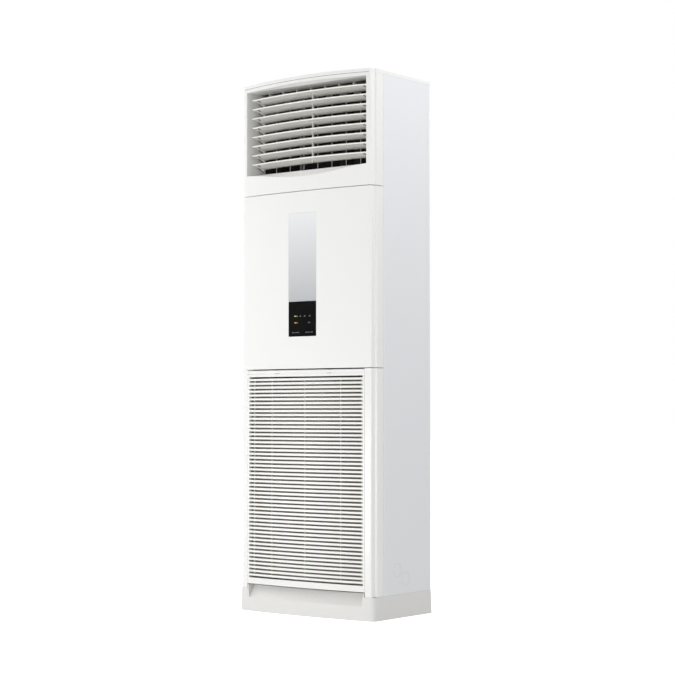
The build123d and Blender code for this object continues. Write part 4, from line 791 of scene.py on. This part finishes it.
def draw_blade(bm, z):
    """The blade with its lip, its channel and the window for the link."""
    steps = 22
    left = [-louver_half + (louver_half - window_half) * i / steps for i in range(steps + 1)]
    stations = left + [-x for x in reversed(left)]
    rings = [ring_of(bm, [louver_point(x, s, h, z) for s, h in section]) for x in stations]
    count = len(section)
    in_window = {(near_top, far_top), (far_low, near_low)}
    for i, (here, after) in enumerate(zip(rings, rings[1:])):
        for j in range(count):
            k = (j + 1) % count
            if i == steps and (j, k) in in_window:
                continue
            bm.faces.new((here[j], after[j], after[k], here[k]))
    here, after = rings[steps], rings[steps + 1]
    for ring in (here, after):
        bm.faces.new((ring[near_top], ring[far_top], ring[far_low], ring[near_low]))
    for top, low in ((near_top, near_low), (far_top, far_low)):
        bm.faces.new((here[top], after[top], after[low], here[low]))
    cap_ends(bm, rings)


def lug_outline(grow=0.0):
    """Outline of a louver's end lug seen from its side, grown outwards: a teardrop."""
    round_end = [on_circle(6.4 + grow, radians(a)) for a in range(-100, 101, 20)]
    point = [(-24.5, 1.2 + grow), (-26.0 - grow, -0.6), (-24.5, -2.6 - grow)]
    return [(p.x, p.y - 0.6) for p in round_end] + point


def draw_pivot(bm, z, side):
    """Hub, pin and the teardrop lug under one end of a louver."""
    axis = turned_on((0, louver_pivot_y, z), (side, 0, 0), (0, 1, 0))
    rod(bm, [(5.0, 254.2), (5.5, 254.8), (5.5, louver_jamb - 0.5), (5.0, louver_jamb - 0.02)], axis)
    rod(bm, [(2.9, louver_jamb - 1.0), (2.9, 270.6), (2.5, 270.95)], axis)
    slab(bm, [tilted(side * lug_x, back, up, z) for back, up in lug_outline()], (side * 2.8, 0, 0))


for number, z in enumerate(louver_heights, start=1):
    bm = bmesh.new()
    draw_blade(bm, z)
    for side in (-1, 1):
        draw_pivot(bm, z, side)
    rod(bm, [(1.45, -5.4), (1.45, 5.4)], turned_on(tilted(0, -35.0, 0, z), (1, 0, 0), (0, 1, 0)), sides=12)
    body = f"louver_{number}"
    blade = make_piece(f"louver_blade_{number}", bm, body, "louver_white", (body,))
print("louvers drawn", len(louver_heights), "faces in one", len(blade.data.polygons))

# %% Pads of the louvers, and painted shade round their lugs
pad_x = 238.5
pad_backs = (12.5, 20.5)
shade_outline_grow = 2.4


def draw_pads(z):
    """Soft pads behind the lip of one louver, and a dark outline slab behind each end lug, painted shade for
    the shadow round the lug.
    """
    bm = bmesh.new()
    down = tilted(0, 0.0, -1.0, z) - tilted(0, 0.0, 0.0, z)
    for x in (-pad_x, pad_x):
        for back in pad_backs:
            rod(bm, [(2.6, 0.0), (2.6, 1.3), (2.1, 2.1), (1.0, 2.5)],
                turned_on(louver_point(x, back, -1.3, z), down, (1, 0, 0)), sides=14)
    # A dark slab a little larger than the lug: painted shade round its outline.
    for side in (-1, 1):
        outline = [tilted(side * (lug_x + 3.0), back, up, z) for back, up in lug_outline(shade_outline_grow)]
        slab(bm, outline, (side * 0.6, 0, 0))
    return bm


for number, z in enumerate(louver_heights, start=1):
    make_piece(f"louver_pads_and_shade_{number}", draw_pads(z), f"louver_{number}", "pad_brown")
print("pads", 4 * len(louver_heights))

# %% [markdown]
# ## Painted shade lining, a grey bead and ribs round the outlet
# Seen from outside, the gaps between the louvers are black with shade. Black sheets behind the duct,
# and a strip of the same black that closes the joint over the top louver, are painted shade: bare zinc
# there would shine through. A small rib stands in line with each vane, and a grey bead in the joint between
# the lid and the front draws the joint's shadow line as painted shade. They are thin slabs, placed inside the
# shell by its own sizes.

# %% Black sheets and a grey bead of painted shade, and the ribs
height = 1880.0
lid_rim = 12.0
arch_drop = 6.0
arch_radius = (bow_half**2 + arch_drop**2) / (2 * arch_drop)
soffit_z = 1850.0
shade_sheet_low, shade_sheet_high = 1400.0, 1845.0
vane_places = [64.0 * (i - 3.5) for i in range(8)]
shadow_bead_half = 280.0


def shade_sheet(bm, low, high):
    """A black sheet between two corners: painted shade for the dark inside of the duct."""
    (x0, y0, z0), (x1, y1, z1) = low, high
    slab(bm, [(x0, y0, z0), (x1, y0, z0), (x1, y0, z1), (x0, y0, z1)], (0, y1 - y0, 0))


# Black sheets behind the duct and over the top louver: painted shade.
bm = bmesh.new()
rear_half, side_inner, strip_half = 275.5, 292.2, 262.0
shade_sheet(bm, (-rear_half, 171.0, shade_sheet_low), (rear_half, 174.2, shade_sheet_high))
for side in (-1, 1):
    near, far = sorted((side * side_inner, side * (side_inner + 3.0)))
    shade_sheet(bm, (near, 20.0, shade_sheet_low), (far, 166.0, shade_sheet_high))
shade_sheet(bm, (-strip_half, -89.0, soffit_z - 1.0), (strip_half, -75.0, soffit_z - 0.1))
make_piece("outlet_lining_painted_shade", bm, "cabinet", "duct_black")

bm = bmesh.new()
rib = [(-92.0, 0.2), (-92.0, 8.0), (-89.5, 10.5), (-76.5, 10.5), (-74.0, 8.0), (-74.0, 0.2)]
for x in vane_places:
    slab(bm, [(x - 1.3, y, soffit_z - drop) for y, drop in rib], (2.6, 0, 0))
make_piece("soffit_ribs", bm, "cabinet", "louver_white")

# The grey bead along the lid joint is painted shade: it draws the joint's shadow line.
bm = bmesh.new()
shadow_bead_section = ((1.0, 0.5), (-0.15, 0.5), (-0.35, -0.2), (-0.15, -0.9), (1.0, -0.9))
loops = []
for x in [shadow_bead_half * (i / 20 - 1) for i in range(41)]:
    z = height - lid_rim - arch_radius + sqrt(arch_radius**2 - x * x)
    loops.append(ring_of(bm, [(x, bow_y(x) + back, z + up) for back, up in shadow_bead_section]))
join_rings(bm, loops)
cap_ends(bm, loops)
make_piece("lid_shadow_bead", bm, "cabinet", "seal_grey")
print("ribs", len(vane_places), "bead at", round(height - lid_rim, 1))

# %% [markdown]
# ## The fin pack and its pipes
# Behind the middle panel leans the evaporator: thin aluminium fins in their hundreds on copper tube,
# which turns back on itself in U bends at the left end and leaves at the right. CAD keeps the pack as
# one block for its weight; here each fin is a sheet of its own, so the pack breaks the light as a real
# one does. The bends and the two pipes are swept round, with the radius that a pipe bender leaves.

# %% The plane of the evaporator
coil_tilt = radians(16.6)
coil_middle = Vector((0.0, 38.0, 1094.58))
coil_half = 240.0
coil_long = 576.0
coil_thick = 40.0
fin_pitch = 3.2
fin_thick = 0.22
tube_rows = (-10.0, 10.0)
tube_pitch = 48.0


def on_coil(x, up, forward=0.0):
    """Place on the evaporator: across it, up along it and forward from its middle plane."""
    climb = Vector((0.0, -sin(coil_tilt), cos(coil_tilt)))
    ahead = Vector((0.0, -cos(coil_tilt), -sin(coil_tilt)))
    return coil_middle + Vector((x, 0.0, 0.0)) + up * climb + forward * ahead


bm = bmesh.new()
fin_count = int(2 * (coil_half - 0.4) / fin_pitch) + 1
half_long, half_thick = coil_long / 2, coil_thick / 2
upper_half = [(half_long - 2, -half_thick), (half_long, -half_thick + 2),
              (half_long, half_thick - 2), (half_long - 2, half_thick)]
fin_outline = upper_half + [(-up, -forward) for up, forward in upper_half]
for i in range(fin_count):
    x = (i - (fin_count - 1) / 2) * fin_pitch - fin_thick / 2
    slab(bm, [on_coil(x, up, forward) for up, forward in fin_outline], (fin_thick, 0, 0))
for row in tube_rows:
    for i in range(12):
        middle = turned_on(on_coil(0, (i - 5.5) * tube_pitch, row), (1, 0, 0), (0, 1, 0))
        rod(bm, [(4.75, -coil_half), (4.75, coil_half)], middle, sides=10)
make_piece("fin_pack", bm, "cabinet", "fin_aluminium", ("evaporator_fins",))
print("fins", fin_count)

# %% Return bends
bend_radius = 19.0
bend_count = 5
bend_pitch = 104.0
leg_start = coil_half + 2.1
tube_radius = 4.8


def half_turn(middle_up, side):
    """Path of a U bend that leaves the evaporator at one side and comes back."""
    path = [on_coil(side * leg_start, middle_up - bend_radius)]
    for i in range(15):
        a = pi * i / 14
        reach = leg_start + 6.0 + bend_radius * sin(a)
        path.append(on_coil(side * reach, middle_up - bend_radius * cos(a)))
    path.append(on_coil(side * leg_start, middle_up + bend_radius))
    return path


bm = bmesh.new()
for i in range(bend_count):
    middle_up = (i - (bend_count - 1) / 2) * bend_pitch
    tube(bm, half_turn(middle_up, -1), tube_radius, sides=18)
    for leg in (-bend_radius, bend_radius):
        collar = turned_on(on_coil(-leg_start, middle_up + leg), (-1, 0, 0), (0, 1, 0))
        lathe(bm, [(4.4, 0.2), (5.9, 0.2), (6.1, 1.6), (5.5, 4.2), (4.4, 4.6)], collar, sides=20)
make_piece("return_bends", bm, "cabinet", "copper", ("evaporator_bends",))
print("return bends", bend_count)

# %% The two refrigerant pipes
pipe_x = 272.0
pipe_turn = 18.0


def drawn_pipe(name, radius, y, low):
    """Pipe that leaves the evaporator's right end and turns down to its flare nut."""
    high = coil_middle.z - (y - coil_middle.y) * cos(coil_tilt) / sin(coil_tilt)
    path = [(leg_start, y, high), (pipe_x - pipe_turn, y, high)]
    for i in range(1, 12):
        a = (pi / 2) * i / 12
        path.append((pipe_x - pipe_turn + pipe_turn * sin(a), y, high - pipe_turn + pipe_turn * cos(a)))
    path += [(pipe_x, y, high - pipe_turn), (pipe_x, y, low)]
    bm = bmesh.new()
    tube(bm, path, radius, sides=24)
    collar = turned_on((leg_start, y, high), (1, 0, 0), (0, 1, 0))
    lathe(bm, [(radius - 0.4, 0.2), (radius + 1.1, 0.2), (radius + 1.3, 2.0), (radius + 0.6, 6.0),
               (radius - 0.4, 6.4)], collar, sides=24)
    make_piece(f"{name}_drawn", bm, "cabinet", "copper", (name,))


drawn_pipe("gas_pipe", radius=7.9, y=72.0, low=230.0)
drawn_pipe("liquid_pipe", radius=4.7, y=96.0, low=262.0)
print("pipes drawn")

# %% [markdown]
# ## The blower wheel and its motor
# The wheel is a riveted drum of thin forward-curved blades between a back disc and a rolled ring. The
# CAD node has fewer, straighter blades for its physics; this one has the forty-four of a usual wheel,
# each a curved strip a millimetre thick. It rides on the blower's own body, so it turns with the joint.

# %% Blower wheel
fan_z = 430.0
wheel_front = -70.0
wheel_back = 40.0
rivet_circle = 34.0
blade_count = 44
blade_inner = 143.5
blade_outer = 168.0

fan_axis = turned_on((0, 0, fan_z), (0, 1, 0), (1, 0, 0))
back_disc = fan_axis @ Matrix.Translation((0, 0, wheel_back))
front_ring = fan_axis @ Matrix.Translation((0, 0, wheel_front))
bm = bmesh.new()
lathe(bm, [(6.2, -9), (46, -9), (57, -3), (168.6, -3), (170, -1.5), (168.6, 0), (56, 0), (45, -6), (6.2, -6)],
      back_disc, sides=72)
lathe(bm, [(150.6, 0.9), (152, 0.1), (167.6, 0.1), (169.9, 2.4), (169.9, 9), (168.5, 9), (168.2, 3),
           (152.2, 2.4)], front_ring, sides=72)
lathe(bm, [(6.2, -30), (18.6, -30), (20, -28.6), (20, -8.8), (6.2, -8.8)], back_disc, sides=36)
for i in range(blade_count):
    turn = 2 * pi * i / blade_count
    inner_side, outer_side = [], []
    for k in range(6):
        part = k / 5
        r = blade_inner + (blade_outer - blade_inner) * part
        lead = radians(10.0) * part**1.7
        for side, offset in ((inner_side, 0.0), (outer_side, 1.1 / r)):
            a = turn + lead + offset
            side.append(fan_axis @ on_circle(r, a, wheel_front + 2.2))
    slab(bm, inner_side + outer_side[::-1], (0, wheel_back - wheel_front - 5.0, 0))
for i in range(8):
    rivet = back_disc @ Matrix.Translation(on_circle(rivet_circle, pi * i / 4))
    rod(bm, [(3.4, -10.2), (3.4, -9.2), (2.2, -8.4)], rivet, sides=12)
rod(bm, [(2.6, 17.0), (2.6, 22.6), (1.8, 23.2)],
    turned_on((0, wheel_back - 22, fan_z), (1, 0, 0), (0, 1, 0)), sides=12)
make_piece("blower_wheel_riveted", bm, "blower", "zinc_sheet", ("blower_wheel",))
print("blades", blade_count)

# %% Fan motor
motor_front = 57.6
bolt_circle = 47.0
motor_axis = fan_axis @ Matrix.Translation((0, 0, motor_front))
bm = bmesh.new()
lathe(bm, [(6.2, 0.2), (19, 0.2), (21, 3), (40, 4.5), (55, 8), (59, 13), (59, 32), (61.8, 32.6), (61.8, 37.4),
           (59, 38), (59, 62), (54, 70), (30, 74.5), (22, 76.8), (6.2, 76.8)], motor_axis, sides=56)
for i in range(20):
    turn = motor_axis @ Matrix.Rotation(2 * pi * i / 20, 4, "Z")
    rib = [turn @ Vector(p) for p in ((58.6, -1.6, 42), (61.2, -1.2, 43), (61.2, 1.2, 43), (58.6, 1.6, 42))]
    slab(bm, rib, (0, 18.0, 0))
for i in range(4):
    bolt = motor_axis @ Matrix.Translation(on_circle(bolt_circle, pi / 4 + pi / 2 * i, 3.0))
    rod(bm, [(3.2, -1.2), (3.2, 1.2), (2.2, 4.0)], bolt, sides=6)
make_piece("fan_motor_housing", bm, "cabinet", "motor_black", ("fan_motor",))
print("motor drawn")

# %% [markdown]
# ## Screws, knockouts and the marks on the window
# Small things tell the size of a large object. Six pan head screws with a cross recess hold the back
# panel, two knockouts are scored in each side for pipes, and on the smoked window two lamps glow
# over plain generic marks and a row of dashes, all of them thin slabs in ink.

# %% Screws with a cross recess
def cross_outline(reach, half):
    """Outline of a cross, as twelve points."""
    return [(half, half), (half, reach), (-half, reach), (-half, half), (-reach, half), (-reach, -half),
            (-half, -half), (-half, -reach), (half, -reach), (half, -half), (reach, -half), (reach, half)]


def pan_head(bm, matrix):
    """Pan head screw that stands on the matrix's plane and points along its Z."""
    profile = [(1.8, -7.8), (1.8, 0.0), (4.0, 0.02), (4.0, 0.9), (3.6, 1.6), (2.9, 2.05)]
    rings = rod_rings(bm, profile, matrix, 24)
    join_rings(bm, rings)
    bm.faces.new(rings[0][::-1])
    cross = cross_outline(1.9, 0.45)
    rim = ring_of(bm, [matrix @ Vector((x, y, 2.15)) for x, y in cross])
    low = ring_of(bm, [matrix @ Vector((x * 0.7, y * 0.7, 0.9)) for x, y in cross])
    edges = []
    for loop in (rings[-1], rim):
        for i in range(len(loop)):
            pair = (loop[i], loop[(i + 1) % len(loop)])
            edges.append(bm.edges.get(pair) or bm.edges.new(pair))
    bmesh.ops.triangle_fill(bm, use_beauty=True, edges=edges)
    inside = [f for f in bm.faces if all(v in rim for v in f.verts)]
    bmesh.ops.delete(bm, geom=inside, context="FACES_ONLY")
    join_rings(bm, [rim, low])
    bm.faces.new(low)


screw_x = 283.5
screw_seat = 176.5
screw_heights = (150.0, 970.0, 1790.0)
bm = bmesh.new()
for side in (-1, 1):
    for z in screw_heights:
        turn = Matrix.Rotation(0.4 * side + z / 300, 4, "Z")
        pan_head(bm, turned_on((side * screw_x, screw_seat, z), (0, 1, 0), (1, 0, 0)) @ turn)
make_piece("cabinet_screws_pan_head", bm, "cabinet", "steel_shaft", ("cabinet_screws",))
print("screws", 2 * len(screw_heights))

# %% Scored knockouts
knockouts = ((23.0, 131.0), (-24.0, 163.0))
knockout_radius = 23.0
scored_face = 296.9
tie_half = radians(7)


def scored_ring(bm, side, y, z, radius):
    """Raised burr of a punched knockout on a side panel, in four arcs with ties between them."""
    for quarter in range(4):
        first = pi / 2 * quarter + tie_half
        sweep = pi / 2 - 2 * tie_half
        turns = [first + sweep * i / 12 for i in range(13)]
        outer = [on_circle(radius + 0.7, a) for a in turns]
        inner = [on_circle(radius - 0.9, a) for a in reversed(turns)]
        slab(bm, [(side * scored_face, y + p.x, z + p.y) for p in outer + inner], (side * 0.35, 0, 0))


# The rings are a darker grey than the panel: painted shade for the shading line of each score.
bm = bmesh.new()
for side in (-1, 1):
    for y, z in knockouts:
        scored_ring(bm, side, y, z, knockout_radius)
make_piece("knockout_rings_painted_shade", bm, "cabinet", "score_grey")
print("knockouts scored", 2 * len(knockouts))

# %% Marks and lamps on the window
running_row = 1037.0
timer_row = 1014.0
dash_row = 980.0
mark_proud = 0.16


def mark(bm, x, z, outline):
    """A thin mark on the bowed window, with its outline about x and z."""
    points = [(x + u, bow_y(x + u) + 0.3, z + v) for u, v in outline]
    slab(bm, points, (0, -mark_proud, 0))


def pill(half_wide, half_high, steps=5):
    """Outline of a bar with round ends."""
    flat = half_wide - half_high
    turns = [on_circle(half_high, radians(-90 + 180 * i / steps)) for i in range(steps + 1)]
    right = [(flat + p.x, p.y) for p in turns]
    return right + [(-x, -z) for x, z in right]


lamps = {"running_lamp": (-31.0, running_row, "lit_green"), "timer_lamp": (-30.0, timer_row, "lit_amber")}
for name, (x, z, slot) in lamps.items():
    bm = bmesh.new()
    mark(bm, x, z, pill(5.0, 2.1))
    mark(bm, x + 9.0, z - 0.4, pill(1.6, 1.4))
    make_piece(name, bm, "cabinet", slot)

bm = bmesh.new()
for x in (-9.0, 11.0, 33.0):
    for k, high in enumerate((1.2, 2.0, 2.8)):
        bar = [(-0.8, -high), (0.8, -high), (0.8, high), (-0.8, high)]
        mark(bm, x - 3.0 + 3.0 * k, running_row - 1.6 + high / 2, bar)
mark(bm, 31.0, timer_row - 0.5, [(-5.6, -1.6), (-4.3, -2.6), (0.0, 0.9), (4.3, -2.6), (5.6, -1.6), (0.0, 2.9)])
for first, last in ((-46.0, -12.0), (15.0, 50.0)):
    x = first
    for width in (5.0, 3.2, 4.4, 2.6, 5.4, 3.0):
        if x + width > last:
            break
        mark(bm, x + width / 2, dash_row, pill(width / 2, 1.25))
        x += width + 1.8
make_piece("window_marks", bm, "cabinet", "printed_grey")
print("marks on the window drawn")

# %% Sizes and finish
low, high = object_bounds()
print("visual box", [round(v, 4) for v in (*low, *high)])
